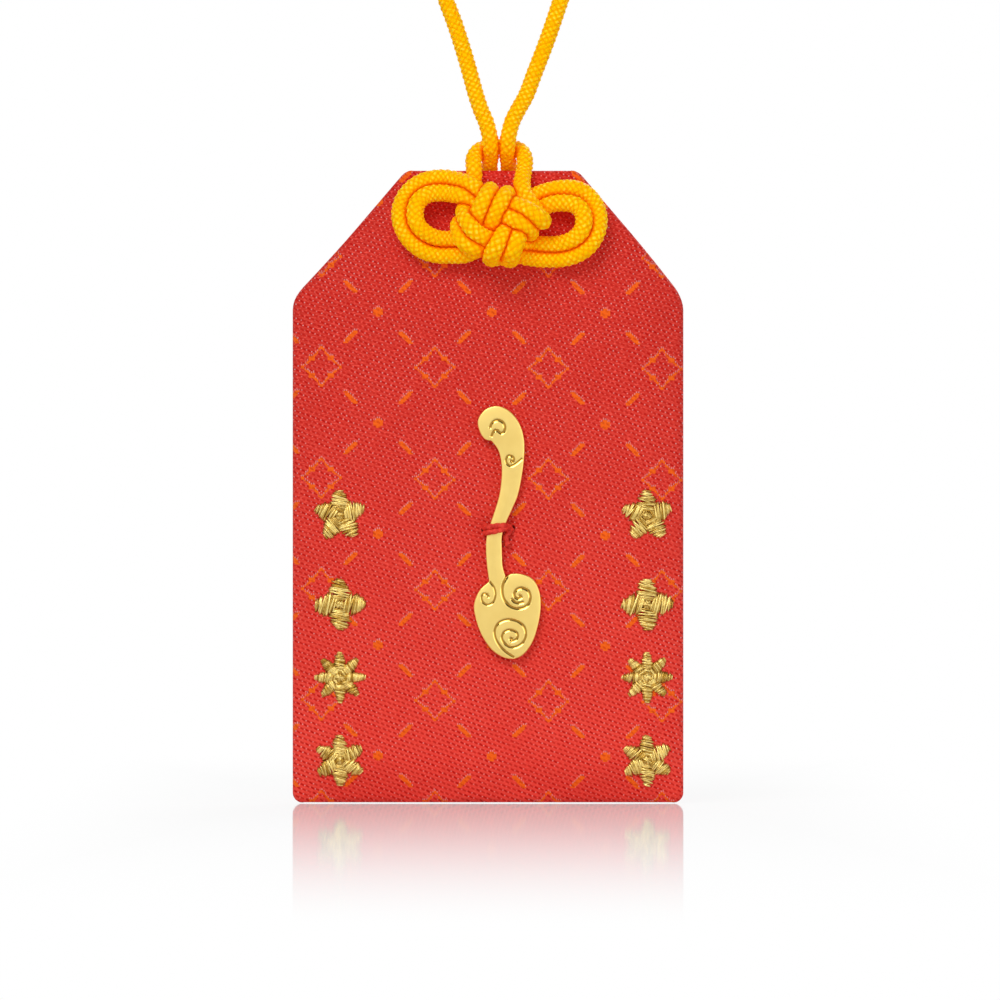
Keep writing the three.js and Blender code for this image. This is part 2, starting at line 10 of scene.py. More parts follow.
import bpy
import numpy as np
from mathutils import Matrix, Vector
from mathutils.kdtree import KDTree


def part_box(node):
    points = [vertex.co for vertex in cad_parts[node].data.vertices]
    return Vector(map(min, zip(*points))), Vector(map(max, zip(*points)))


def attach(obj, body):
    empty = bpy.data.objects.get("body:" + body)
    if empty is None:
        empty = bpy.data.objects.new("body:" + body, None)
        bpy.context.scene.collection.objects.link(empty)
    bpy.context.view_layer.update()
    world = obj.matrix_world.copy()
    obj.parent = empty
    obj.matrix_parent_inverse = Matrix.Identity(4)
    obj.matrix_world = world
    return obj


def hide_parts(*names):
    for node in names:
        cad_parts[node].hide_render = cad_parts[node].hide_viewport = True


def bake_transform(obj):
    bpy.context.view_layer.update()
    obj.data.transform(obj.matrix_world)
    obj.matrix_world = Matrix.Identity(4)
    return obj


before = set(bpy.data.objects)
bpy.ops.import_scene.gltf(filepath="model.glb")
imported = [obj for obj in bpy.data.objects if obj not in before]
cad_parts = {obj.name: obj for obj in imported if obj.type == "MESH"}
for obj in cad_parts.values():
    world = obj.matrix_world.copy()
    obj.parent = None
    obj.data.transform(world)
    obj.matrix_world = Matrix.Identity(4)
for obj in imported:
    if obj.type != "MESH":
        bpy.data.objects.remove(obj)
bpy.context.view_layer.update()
scene = bpy.context.scene
scene.view_settings.view_transform = "Standard"
MM = 0.001

# %% [markdown]
# ## Camera
# The charm was photographed square on from far away, so parallel edges stay parallel. A long lens far
# off does the same. The picture's height and its middle come from the pouch, which fills a known part
# of it.

# %% The camera
front_low, front_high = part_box("front_panel")
POUCH_BASE = front_low.z
POUCH_TOP = front_high.z
PHOTO_SIZE = 1000
POUCH_TOP_PIXEL = 170
POUCH_BASE_PIXEL = 803
POUCH_MIDDLE_PIXEL = 488
PIXEL = (POUCH_TOP - POUCH_BASE) / (POUCH_BASE_PIXEL - POUCH_TOP_PIXEL)
CAMERA_DISTANCE = 1.5

camera = bpy.data.objects.new("camera", bpy.data.cameras.new("camera"))
scene.collection.objects.link(camera)
scene.camera = camera
camera.data.sensor_width = 36
camera.data.lens = camera.data.sensor_width * CAMERA_DISTANCE / (PHOTO_SIZE * PIXEL)
camera.location = (
    (PHOTO_SIZE / 2 - POUCH_MIDDLE_PIXEL) * PIXEL,
    -CAMERA_DISTANCE,
    POUCH_BASE + (POUCH_BASE_PIXEL - PHOTO_SIZE / 2) * PIXEL,
)
camera.rotation_euler = (math.pi / 2, 0, 0)
print("one pixel is", round(PIXEL / MM, 4), "mm, lens", round(camera.data.lens), "mm")

# %% [markdown]
# ## Numbers for the pouch
# The cloth's outline and crown follow the same few sizes as the solids: a straight top edge, two gable
# slopes and soft borders. Working with whole arrays at once keeps the fine meshes quick to make.

# %% Outline and crown of the pouch
HEIGHT = POUCH_TOP - POUCH_BASE
HALF_WIDTH = front_high.x
TOP_HALF_WIDTH = 10.87 * MM
GABLE_DROP = 16.2 * MM
GABLE_SHIFT = 0.48 * MM  # the gable is sewn a little to the right
GABLE_SHIFT_REACH = 9 * MM  # from its foot, over this height
SHOULDER_BLEND = 1.3 * MM
BOTTOM_CORNER = 1.3 * MM
TOP_CORNER = 0.7 * MM
SIDE_MARGIN = 6 * MM
TOP_MARGIN = 14 * MM
CLOTH = 0.6 * MM
EDGE_HALF = 0.75 * MM
MID_PLANE = (front_high.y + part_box("back_panel")[0].y) / 2
MIDDLE_HALF = MID_PLANE - front_low.y
CROWN = MIDDLE_HALF - EDGE_HALF


def corner_pull(distance, radius):
    """How far a rounded corner draws an edge in, at a distance from the corner's end."""
    inside = np.clip(radius - distance, 0, radius)
    return radius - np.sqrt(radius**2 - inside**2)


def half_width(height):
    """Half the pouch's width at heights above its bottom edge."""
    slope = TOP_HALF_WIDTH + (HEIGHT - height) * (HALF_WIDTH - TOP_HALF_WIDTH) / GABLE_DROP
    near = np.clip(SHOULDER_BLEND - np.abs(HALF_WIDTH - slope), 0, None) / SHOULDER_BLEND
    side = np.minimum(HALF_WIDTH, slope) - near**2 * SHOULDER_BLEND / 4
    return side - corner_pull(height, BOTTOM_CORNER) - corner_pull(HEIGHT - height, TOP_CORNER)


def rise(distance, margin):
    """From 0 at an edge to 1 a margin away from it, with a soft shoulder."""
    return np.sin(math.pi / 2 * np.clip(distance / margin, 0, 1))


def middle(height):
    """Sideways place of the pouch's middle line."""
    return GABLE_SHIFT * rise(height - HEIGHT + GABLE_DROP, GABLE_SHIFT_REACH)


def half_depth(x, height):
    """Half the pouch's thickness at a point of its front."""
    across = rise(half_width(np.clip(height, 0, HEIGHT)) - np.abs(x - middle(height)), SIDE_MARGIN)
    along = rise(height, SIDE_MARGIN) * rise(HEIGHT - height, TOP_MARGIN)
    return EDGE_HALF + CROWN * across * along


def front_face(points):
    """Where the crowned front lies, front to back, level with each point."""
    return MID_PLANE - half_depth(points[..., 0], points[..., 2] - POUCH_BASE)


print("pouch", [round(size / MM, 1) for size in (2 * HALF_WIDTH, HEIGHT, 2 * MIDDLE_HALF)], "mm")

# %% [markdown]
# ## Tools for meshes and tubes
# Nearly everything here is either a sheet, which is a grid of points, or a tube, which is a row of rings.
# Small functions turn such grids into meshes, and one carries a ring along a path without twisting it.

# %% Mesh helpers
CURVE_STEPS = 24  # between two picked points of a path
WAVE_COUNT = 7  # waves that add up to an uneven surface
WAVE_RANGE = (0.6, 1.4)  # their number on a length varies by this factor


def new_piece(name, points, faces, attributes=None):
    """A smooth-shaded mesh object, with one number per point for each named attribute."""
    mesh = bpy.data.meshes.new(name)
    mesh.from_pydata(np.asarray(points).reshape(-1, 3).tolist(), [], faces)
    for key, values in (attributes or {}).items():
        data = mesh.attributes.new(key, "FLOAT", "POINT").data
        data.foreach_set("value", np.asarray(values, np.float32).ravel())
    mesh.shade_smooth()
    piece = bpy.data.objects.new(name, mesh)
    scene.collection.objects.link(piece)
    return piece


def grid_faces(rows, columns, start=0, ring=False):
    """Four-sided faces of a grid of points; a ring's last column joins its first."""
    across = columns if ring else columns - 1
    row, column = np.meshgrid(np.arange(rows - 1), np.arange(across), indexing="ij")
    beside = (column + 1) % columns
    here, next_up = row * columns, (row + 1) * columns
    corners = [here + column, here + beside, next_up + beside, next_up + column]
    return (start + np.stack(corners, axis=-1).reshape(-1, 4)).tolist()


def tube_faces(rings, sides, start=0):
    """Faces of a tube with a lid on each end."""
    last = start + (rings - 1) * sides
    lids = [list(range(start + sides - 1, start - 1, -1)), list(range(last, last + sides))]
    return grid_faces(rings, sides, start, ring=True) + lids


def closed_sheet(name, outer, inner):
    """A sheet with two faces and a rim; the outer grid is seen from its rows-up, columns-right side."""
    rows, columns = outer.shape[:2]
    count = rows * columns
    skin = grid_faces(rows, columns)
    faces = skin + [[count + corner for corner in reversed(face)] for face in skin]
    grid = np.arange(count).reshape(rows, columns)
    rim = np.concatenate([grid[0], grid[1:, -1], grid[-1, -2::-1], grid[-2:0:-1, 0]])
    faces += [[b, a, count + a, count + b] for a, b in zip(rim, np.roll(rim, -1))]
    return new_piece(name, np.stack([outer, inner]), faces)


def side_sheet(name, side, x, height, depths):
    """A sheet in front of the pouch's middle plane, with side -1, or behind it, with side 1. The depths are
    those of its outer and its inner face, from that plane."""
    layers = [np.stack([x, MID_PLANE + side * depth, POUCH_BASE + height], axis=-1) for depth in depths]
    if side > 0:
        layers = [layer[:, ::-1] for layer in layers]
    return closed_sheet(name, *layers)


def close_at_ends(count):
    """Shares from 0 to 1 that lie closer together towards both ends."""
    return 0.5 - 0.5 * np.cos(np.linspace(0, math.pi, count))


def full_turn(sides):
    return np.linspace(0, 2 * math.pi, sides, endpoint=False)


def smooth_path(points, spacing):
    """Even steps along a smooth curve through the points."""
    knots = np.asarray(points, float)
    padded = np.vstack([2 * knots[0] - knots[1], knots, 2 * knots[-1] - knots[-2]])
    gaps = np.sqrt(np.linalg.norm(np.diff(padded, axis=0), axis=1))
    share = np.linspace(0, 1, CURVE_STEPS, endpoint=False)[:, None]
    curve = []
    for k in range(1, len(padded) - 2):
        before, here, after, beyond = padded[k - 1 : k + 3]
        g0, g1, g2 = gaps[k - 1 : k + 2]
        leave = ((here - before) / g0 - (after - before) / (g0 + g1) + (after - here) / g1) * g1
        arrive = ((after - here) / g1 - (beyond - here) / (g1 + g2) + (beyond - after) / g2) * g1
        bend = 2 * here - 2 * after + leave + arrive
        sweep = -3 * here + 3 * after - 2 * leave - arrive
        curve.append(here + share * leave + share**2 * sweep + share**3 * bend)
    curve = np.vstack(curve + [knots[-1:]])
    return even_steps(curve, spacing)


def even_steps(curve, spacing):
    """Points at even distances along a dense curve."""
    along = np.concatenate([[0], np.cumsum(np.linalg.norm(np.diff(curve, axis=0), axis=1))])
    at = np.linspace(0, along[-1], max(2, round(along[-1] / spacing) + 1))
    return np.stack([np.interp(at, along, curve[:, k]) for k in range(3)], axis=1)


def carried_frames(path):
    """Two directions across the path at each point, carried along it without twist."""
    tangents = np.gradient(path, axis=0)
    tangents /= np.linalg.norm(tangents, axis=1)[:, None]
    across = np.cross(tangents[0], (0, 1, 0))
    sides = []
    for tangent in tangents:
        across = across - tangent * np.dot(across, tangent)
        across = across / np.linalg.norm(across)
        sides.append(across)
    sides = np.array(sides)
    return sides, np.cross(tangents, sides)


def rings_along(path, radii, angles):
    """Points of a tube, one radius for each ring and angle. A closed path's ends meet without a step."""
    side, up = carried_frames(path)
    if np.allclose(path[0], path[-1]):
        left_over = math.atan2(side[-1] @ up[0], side[-1] @ side[0])
        angles = angles - np.linspace(0, left_over, len(path))[:, None]
    turn = side[:, None] * np.cos(angles)[..., None] + up[:, None] * np.sin(angles)[..., None]
    return path[:, None] + turn * np.asarray(radii)[..., None]


def length_of(path):
    return float(np.linalg.norm(np.diff(path, axis=0), axis=1).sum())


def waves(x, y, scale, seed):
    """Gentle seeded unevenness, about 1 high, with bumps about one scale apart."""
    rng = np.random.default_rng(seed)
    total = np.zeros(np.broadcast(x, y).shape)
    for angle, phase in rng.uniform(0, 2 * math.pi, (WAVE_COUNT, 2)):
        reach = 2 * math.pi / scale * rng.uniform(*WAVE_RANGE)
        total += np.sin(reach * (x * math.cos(angle) + y * math.sin(angle)) + phase)
    return total / math.sqrt(WAVE_COUNT)


# %% [markdown]
# ## The cord's route
# One yellow cord goes through the pouch, is tied in front in a double loop knot with two ears, and closes
# in a loop to hang it by. The ties of a knot can't be guessed by a formula: its route is a list of given
# points. Each is in millimetres sideways from the knot's middle line, up from the pouch's top edge, and out
# from the cloth.

# %% Points of the route
BEHIND_POUCH = [
    (-1.65, 6.05, 1), (-1.2, 4.3, 1), (-1, 2.9, 0.5), (-1, 2.1, -0.5), (-1.15, 1.25, -1.4),
    (-1.25, 0.55, -2.15), (-1.15, -0.15, -2.9), (-1.05, -1.25, -3.4), (-1.05, -2.8, -3.9),
    (-1.05, -4.15, -4.35), (-1.05, -5.2, -3.9), (-1.05, -5.6, -2.8), (-1.05, -5.6, -1.5),
    (-1.05, -5.45, -0.5), (-1.05, -5.1, 0.3), (-1.05, -4.55, 0.95), (-1.05, -3.75, 1.2),
]
TOP_BAND_LEFT = [
    (-1.05, -2.9, 1.25), (-1.05, -2.75, 1.8), (-1.1, -2.65, 2.7), (-1.15, -2.7, 3.7),
    (-1.3, -2.95, 4.8), (-1.6, -3.5, 5.6), (-2.1, -4.5, 5.85), (-2.6, -5.5, 5.35),
    (-2.95, -6.45, 4.3), (-3.4, -7.5, 3.1), (-4.25, -8.4, 2.4), (-6.05, -8.75, 1.65),
]
LEFT_EAR_INNER = [
    (-7.85, -8.65, 1.9), (-9.45, -7.9, 2.5), (-10.35, -6.85, 2.9), (-10.6, -5.5, 3),
    (-10.25, -4.15, 2.9), (-9.1, -3.2, 2.7), (-7.35, -2.95, 2.5), (-5.95, -3.1, 2.6),
]
RIGHT_BAND_LOWER = [
    (-4.7, -3.35, 3.3), (-3.55, -4.1, 3.3), (-2.4, -5, 3.05), (-1.15, -5.55, 3.05), (0, -5.85, 3.65),
    (0.85, -5.95, 4.8), (1.6, -6.2, 5.5), (2.5, -6.65, 5.9), (3.3, -7.2, 5.55), (3.85, -7.7, 4.6),
    (3.9, -8, 3.3), (3.4, -8.05, 1.8), (2, -7.95, 1.2),
]
LEFT_BAND_LOWER = [
    (-0.15, -7.6, 1.2), (-2.3, -7.2, 1.2), (-3.6, -6.75, 1.2), (-4.6, -6.6, 1.55), (-5, -6.85, 2.6),
    (-5.05, -7.6, 3.6), (-4.85, -8.5, 4.3), (-4.3, -9.3, 4.6), (-3.4, -9.8, 4.6), (-2.2, -10.05, 4),
    (-0.65, -10.2, 3.3), (1, -10.45, 2.7), (2.4, -10.8, 2.1), (3.55, -11.1, 1.65),
]
RIGHT_EAR_OUTER = [
    (5.2, -11.3, 1.5), (7.1, -11.35, 1.6), (9.2, -11, 1.8), (10.95, -10.05, 2), (12.15, -8.5, 2.1),
    (12.65, -6.6, 2.1), (12.35, -4.8, 2.1), (11.3, -3.25, 2), (9.75, -2.4, 1.9), (7.95, -2.3, 1.7),
    (6.3, -2.6, 1.5), (4.95, -3.05, 1.25),
]
BOTTOM_BAND_LEFT = [
    (3.8, -3.55, 1.2), (2.95, -4.15, 1.25), (2.4, -5.05, 1.9), (1.95, -5.9, 2.25), (1.5, -6.65, 2.9),
    (1.1, -7.2, 3.55), (0.8, -7.8, 4.6), (0.35, -8.6, 5.6), (-0.2, -9.55, 5.95),
    (-0.75, -10.5, 5.5), (-1, -11, 4.4),
]
BOTTOM_TURN = [
    (-1.02, -11.2, 3.3), (-0.65, -11.2, 2.6), (0.25, -11, 2.3), (1.1, -11.3, 2.6), (1.43, -11.35, 3.2),
]
BOTTOM_BAND_RIGHT = [
    (1.55, -11.15, 4.3), (1.7, -10.65, 5.4), (2, -9.75, 5.9), (2.3, -8.85, 5.6), (2.6, -8.05, 4.6),
    (2.9, -7.4, 3.5), (3.4, -6.65, 2.25), (4.15, -5.8, 1.5),
]
RIGHT_EAR_INNER = [
    (5.2, -5, 1.7), (6.45, -4.42, 2.2), (8, -4.22, 2.6), (9.6, -4.5, 2.9), (10.5, -5.4, 3),
    (10.7, -6.6, 3), (10.35, -7.85, 2.8), (9.25, -8.85, 2.5), (7.6, -9.4, 2.1), (5.7, -9.45, 1.8),
    (4.05, -9.35, 1.65),
]
LEFT_BAND_UPPER = [
    (2.25, -9.2, 2.85), (0.6, -9.1, 3.4), (-0.5, -8.98, 4), (-1.28, -8.85, 4.7),
    (-2.29, -8.4, 5.3), (-3.24, -7.71, 5.6), (-3.93, -6.75, 5.4), (-4.3, -5.95, 4.6),
    (-4.4, -5.4, 3.5), (-4.3, -4.95, 2.4), (-4.05, -4.3, 1.5), (-3.75, -3.3, 1.2),
]
ARCH = [
    (-3.55, -2.25, 1.2), (-3.2, -1.25, 1.2), (-3.15, -0.25, 1.2), (-3.2, 0.5, 0.75), (-3.2, 1.5, -0.15),
    (-2.6, 2.45, -1.15), (-1.5, 2.9, -2.15), (0.05, 3.05, -2.65), (1.65, 2.9, -2.15),
    (2.75, 2.45, -1.15), (3.25, 1.5, -0.15), (3.25, 0.5, 0.75), (3.1, -0.4, 1.35), (2.9, -1.75, 2.55),
]
RIGHT_BAND_UPPER = [
    (3.1, -3.05, 3.3), (3.7, -4, 3.5), (4.5, -5.1, 3.4), (5.1, -5.95, 3.6), (5.45, -6.45, 4.3),
    (5.45, -6.55, 5.2), (5, -6.15, 5.85), (4.2, -5.55, 6.1), (3.2, -5, 5.95), (2.1, -4.6, 5.2),
    (1.35, -4.4, 4.05), (0.5, -4.15, 3.55), (-0.5, -3.75, 3.5), (-1.65, -3.3, 3.6),
    (-2.65, -2.6, 3.65), (-3.75, -1.95, 3.3),
]
LEFT_EAR_OUTER = [
    (-4.4, -1.65, 2.9), (-5.2, -1.35, 2.4), (-6.8, -1, 1.9), (-8.7, -1.15, 1.9), (-10.55, -1.95, 2),
    (-11.95, -3.45, 2.1), (-12.55, -5.3, 2.1), (-12.3, -7.15, 2.1), (-11.3, -8.9, 2),
    (-9.65, -10.25, 1.8), (-7.85, -10.8, 1.6), (-6.05, -10.85, 1.55),
]
TOP_BAND_RIGHT = [
    (-4.4, -10.8, 1.75), (-2.9, -10.15, 2.15), (-2, -9.25, 2.35), (-1.45, -8.15, 2.7),
    (-1.1, -7.15, 3.9), (-0.7, -6.1, 5.25), (-0.1, -4.75, 5.9), (0.5, -3.8, 5.65),
    (0.9, -3.3, 4.7), (1, -3.15, 3.65), (1.05, -3.1, 2.65), (1, -3.1, 1.85), (1, -3.35, 1.35),
]
FREE_LOOP = [
    (-1.65, 6.05), (-2.3, 7.6), (-2.9, 9.4), (-3.7, 12.3), (-4.6, 15.4), (-5.6, 18.5), (-6.7, 21.5),
    (-7.6, 24.6), (-8, 27.8), (-7.5, 30.8), (-6.2, 33.4), (-4.2, 35.1), (-1.4, 36.1), (0.5, 36.3),
    (2.9, 36), (5.3, 35.1), (7.5, 33.5), (8.8, 31.1), (9.3, 27.9), (8.8, 24.6), (7.8, 21.5), (6.8, 18.5),
    (5.7, 15.4), (4.5, 12.3), (3.4, 9.4), (2.4, 7.6), (1.65, 6.05),
]

# %% The route in metres
KNOT_X = 1.4 * MM
CORD = 2.15 * MM
CORD_STEP = 0.12 * MM
CUT_RISE = 6.9 * MM  # the knot's piece ends and the loop's begins here, above the top edge


def knot_points():
    behind_right = [(-x, up, lift) for x, up, lift in reversed(BEHIND_POUCH)]
    route = np.array(
        BEHIND_POUCH + TOP_BAND_LEFT + LEFT_EAR_INNER + RIGHT_BAND_LOWER + LEFT_BAND_LOWER
        + RIGHT_EAR_OUTER + BOTTOM_BAND_LEFT + BOTTOM_TURN + BOTTOM_BAND_RIGHT + RIGHT_EAR_INNER
        + LEFT_BAND_UPPER + ARCH + RIGHT_BAND_UPPER + LEFT_EAR_OUTER + TOP_BAND_RIGHT + behind_right
    ) * MM
    x = KNOT_X + route[:, 0]
    front = MID_PLANE - half_depth(x, HEIGHT + route[:, 1])
    return np.stack([x, front - route[:, 2], POUCH_TOP + route[:, 1]], axis=1)


def loop_points():
    route = np.array(FREE_LOOP) * MM
    return np.stack([KNOT_X + route[:, 0], np.zeros(len(route)), POUCH_TOP + route[:, 1]], axis=1)


# From the top of the loop down the right strand, through the knot, and up the left strand.
loop_route = loop_points()
top = len(loop_route) // 2
cord_path = smooth_path(
    np.vstack([loop_route[top:], knot_points()[::-1][1:-1], loop_route[: top + 1]]), CORD_STEP
)
print("cord", round(length_of(cord_path) / MM), "mm in", len(cord_path), "steps")

# %% [markdown]
# ## The braid
# A round braid is two sets of strands that wind round the cord opposite ways, over and under each other.
# The gaps between the strands cut its surface into plump pads, leaning left and right in turn. The pads are
# real relief here, because a cord this close shows them on its edge too. Where two turns of the knot press
# on each other, soft cord goes flat, so each ring is trimmed half way to its neighbour.

# %% Relief and squeeze
BRAID_COLUMNS = 12  # of pads round the cord
PAD_LENGTH = 0.76 * MM
PAD_FULLNESS = 0.75  # less is plumper
BRAID_PITCH = length_of(cord_path) / round(length_of(cord_path) / PAD_LENGTH)
BRAID_LEAN = 0.5
BRAID_DEPTH = 0.17 * MM
CORD_SIDES = 72
KNOT_SWELL = 1.07  # the cord is squashed wider where the knot's bands lie on each other
SWELL_START = 1.6 * MM  # out from the cloth
SWELL_RANGE = 1.4 * MM
SAME_TURN = 1.6 * CORD  # nearer along the cord than this is not another turn
CREVICE_RANGE = 1.5 * CORD
CREVICE_REACH = 0.36 * MM
FRONT_CLEAR = 0.8 * MM  # cord that is further out than this lies in front of the cloth
CLOTH_GAP = 0.04 * MM


def braid_relief(angle, along):
    """Height of the braid's pads from 0 to 1. The strands of the two sets meet in gaps round each pad."""
    column = BRAID_COLUMNS * angle / (2 * math.pi)
    rising = along / BRAID_PITCH + column / 2
    falling = along / BRAID_PITCH - column / 2
    lean = np.where((np.floor(rising) + np.floor(falling)) % 2 == 1, BRAID_LEAN, -BRAID_LEAN)
    gaps = np.abs(np.sin(math.pi * rising)) ** (1 + lean) * np.abs(np.sin(math.pi * falling)) ** (1 - lean)
    return gaps**PAD_FULLNESS


def squeeze(rings, path, skip):
    """Flattens each ring against the other turns of cord that it touches, and says how close they are.
    The path's steps are small, so not every neighbour has to be asked."""
    crevice_shade = np.zeros(rings.shape[:2])
    for k, centre in enumerate(path):
        towards = path - centre
        gap = np.linalg.norm(towards, axis=1)
        gap[np.arange(k - skip, k + skip + 1) % len(path)] = np.inf
        for other in np.nonzero(gap < KNOT_SWELL * CORD)[0][::2]:
            normal = towards[other] / gap[other]
            beyond = (rings[k] - centre) @ normal - gap[other] / 2
            rings[k] -= np.clip(beyond, 0, None)[:, None] * normal
        # How close another turn lies; the cord's finish paints shade and a glow from this.
        for other in np.nonzero(gap < CREVICE_RANGE)[0][::4]:
            apart = np.linalg.norm(rings[k] - path[other], axis=1) - CORD / 2
            crevice_shade[k] = np.maximum(crevice_shade[k], np.exp(-np.clip(apart, 0, None) / CREVICE_REACH))
    return rings, crevice_shade


along = np.arange(len(cord_path)) * length_of(cord_path) / (len(cord_path) - 1)
angles = np.broadcast_to(full_turn(CORD_SIDES), (len(cord_path), CORD_SIDES))
relief = braid_relief(angles, along[:, None])
stand_off = front_face(cord_path) - cord_path[:, 1]
in_knot = np.clip((stand_off - SWELL_START) / SWELL_RANGE, 0, 1) * (cord_path[:, 2] < POUCH_TOP)
thick = CORD / 2 * (1 + (KNOT_SWELL - 1) * in_knot)
cord_rings = rings_along(cord_path, thick[:, None] - BRAID_DEPTH * (1 - relief), angles)
cord_rings, crevice_shade = squeeze(cord_rings, cord_path, skip=round(SAME_TURN / CORD_STEP))
clear_of_cloth = np.minimum(cord_rings[..., 1], front_face(cord_rings) - CLOTH_GAP)
in_front = (stand_off > FRONT_CLEAR)[:, None]
cord_rings[..., 1] = np.where(in_front, clear_of_cloth, cord_rings[..., 1])
print("braid relief", relief.shape, "least", round(float(relief.min()), 2))

# %% Pieces of the cord
above = np.nonzero(cord_path[:, 2] > POUCH_TOP + CUT_RISE)[0]
before_knot = np.nonzero(np.diff(above) > 1)[0][0]
right_cut, left_cut = above[before_knot], above[before_knot + 1]


def cord_piece(name, chosen):
    chosen = np.asarray(chosen)
    return new_piece(
        name,
        cord_rings[chosen],
        tube_faces(len(chosen), CORD_SIDES),
        {"relief": relief[chosen], "crevice_shade": crevice_shade[chosen]},
    )


knot = cord_piece("knot", range(right_cut, left_cut + 1))
loop_order = list(range(left_cut, len(cord_path))) + list(range(1, right_cut + 1))
loop = cord_piece("loop", loop_order)
print("knot", len(knot.data.vertices), "points, loop", len(loop.data.vertices), "points")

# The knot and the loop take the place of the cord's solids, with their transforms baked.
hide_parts("knot_cord")
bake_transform(knot)
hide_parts("hanging_loop", "loop_neck_left", "loop_neck_right")
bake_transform(loop)
loop_path = cord_path[loop_order]
length_of(loop_path)
print("free loop", round(length_of(loop_path) / MM, 1), "mm")

# %% [markdown]
# ## Nodes for the finishes
# Materials here are built in code. One helper adds a node and fills its inputs: another node's output is
# linked, and a plain value is typed in. A number that comes out of a node can be reckoned with like any
# other, and each sum, product or comparison adds a Math node. Colours are written as they look on a screen,
# from 0 to 255.


# %% Node helpers
class Number:
    """A number that comes out of a node. A comparison gives 1 or 0."""

    def __init__(self, socket):
        self.socket = socket

    def __add__(self, other):
        return maths("ADD", self, other)

    def __sub__(self, other):
        return maths("SUBTRACT", self, other)

    def __mul__(self, other):
        return maths("MULTIPLY", self, other)

    def __truediv__(self, other):
        return maths("DIVIDE", self, other)

    def __lt__(self, other):
        return maths("LESS_THAN", self, other)

    def __gt__(self, other):
        return maths("GREATER_THAN", self, other)

    def __abs__(self):
        return maths("ABSOLUTE", self)


def connect(value, socket):
    """Links a node's output to the socket, or types a plain value in."""
    value = value.socket if isinstance(value, Number) else value
    if isinstance(value, bpy.types.NodeSocket):
        socket.id_data.links.new(value, socket)
    else:
        socket.default_value = value


def add(tree, kind, inputs=None, **settings):
    node = tree.nodes.new(kind)
    for key, value in settings.items():
        setattr(node, key, value)
    for key, value in (inputs or {}).items():
        connect(value, node.inputs[key])
    return node


def numbers(node):
    """All that comes out of a node, by name."""
    return {socket.name: Number(socket) for socket in node.outputs}


def maths(operation, *values, clamp=False):
    """Result of a Math node, in the tree of the first number."""
    tree = next(value.socket.id_data for value in values if isinstance(value, Number))
    inputs = dict(enumerate(values))
    return Number(add(tree, "ShaderNodeMath", inputs, operation=operation, use_clamp=clamp).outputs[0])


def greatest(first, *others):
    for other in others:
        first = maths("MAXIMUM", first, other)
    return first


def ramp(value, start, end):
    """0 up to start, 1 from end on, and smooth between them. Start may also be the larger one."""
    inputs = {"Value": value, "From Min": start, "From Max": end}
    tree = value.socket.id_data
    return Number(add(tree, "ShaderNodeMapRange", inputs, interpolation_type="SMOOTHSTEP").outputs[0])


def far_from(across, up):
    """Length of a way that goes across and up."""
    return maths("SQRT", across * across + up * up)


def noise(place, scale, detail):
    inputs = {"Vector": place, "Scale": scale, "Detail": detail}
    return Number(add(place.id_data, "ShaderNodeTexNoise", inputs).outputs[0])


def mix(share, first, second):
    """First colour where the share is 0, second where it is 1."""
    inputs = {0: share, 6: first, 7: second}
    return add(share.socket.id_data, "ShaderNodeMix", inputs, data_type="RGBA").outputs[2]


def colour(red, green, blue):
    """A screen colour as Blender's linear colour."""
    parts = [part / 255 for part in (red, green, blue)]
    linear = [p / 12.92 if p <= 0.04045 else ((p + 0.055) / 1.055) ** 2.4 for p in parts]
    return (*linear, 1)


def new_material(name, plain):
    """A material, its node tree and its shader, with the plain values set on the shader's own sockets."""
    material = bpy.data.materials.new(name)
    material.use_nodes = True
    tree = material.node_tree
    shader = tree.nodes["Principled BSDF"]
    for key, value in plain.items():
        shader.inputs[key].default_value = value
    return material, tree, shader


def add_bump(shader, height, strength, depth):
    """Lets a height roughen the shader's surface."""
    inputs = {"Height": height, "Strength": strength, "Distance": depth}
    connect(add(shader.id_data, "ShaderNodeBump", inputs).outputs[0], shader.inputs["Normal"])


def new_group(name, inputs, outputs):
    """An empty node group with number sockets, the numbers that come in, and the node they leave by."""
    group = bpy.data.node_groups.new(name, "ShaderNodeTree")
    for key, value in inputs.items():
        group.interface.new_socket(key, in_out="INPUT", socket_type="NodeSocketFloat").default_value = value
    for key in outputs:
        group.interface.new_socket(key, in_out="OUTPUT", socket_type="NodeSocketFloat")
    return group, numbers(group.nodes.new("NodeGroupInput")), group.nodes.new("NodeGroupOutput")


def place_group(tree, group, inputs):
    return numbers(add(tree, "ShaderNodeGroup", inputs, node_tree=group))


def object_place(tree):
    """Place on the piece in millimetres, whole and as X sideways, Y front to back and Z up."""
    place = add(tree, "ShaderNodeTexCoord").outputs["Object"]
    scaled = add(tree, "ShaderNodeVectorMath", {0: place, "Scale": 1 / MM}, operation="SCALE").outputs[0]
    return scaled, numbers(add(tree, "ShaderNodeSeparateXYZ", {0: scaled}))


def kept_number(tree, name):
    """A number that was kept on the mesh's points."""
    return Number(add(tree, "ShaderNodeAttribute", attribute_name=name).outputs["Fac"])


print("node helpers ready")

# %% [markdown]
# ## Thread fuzz
# Cord, sewing thread, embroidery and felt all have fine fibres that break up their colour. This shared
# group makes that break-up: a fine grain for relief and a slower drift of tone. Thread, felt, paper and card
# need little else, so one function finishes them.


# %% The fuzz group
def make_fuzz():
    group, sizes, out = new_group("thread_fuzz", {"Grain": 0.12, "Drift": 2.0}, ["Tone", "Relief"])
    place, _ = object_place(group)
    for key, output, detail in (("Drift", "Tone", 3), ("Grain", "Relief", 2)):
        connect(noise(place, maths("DIVIDE", 1.0, sizes[key]), detail), out.inputs[output])
    return group


thread_fuzz = make_fuzz()


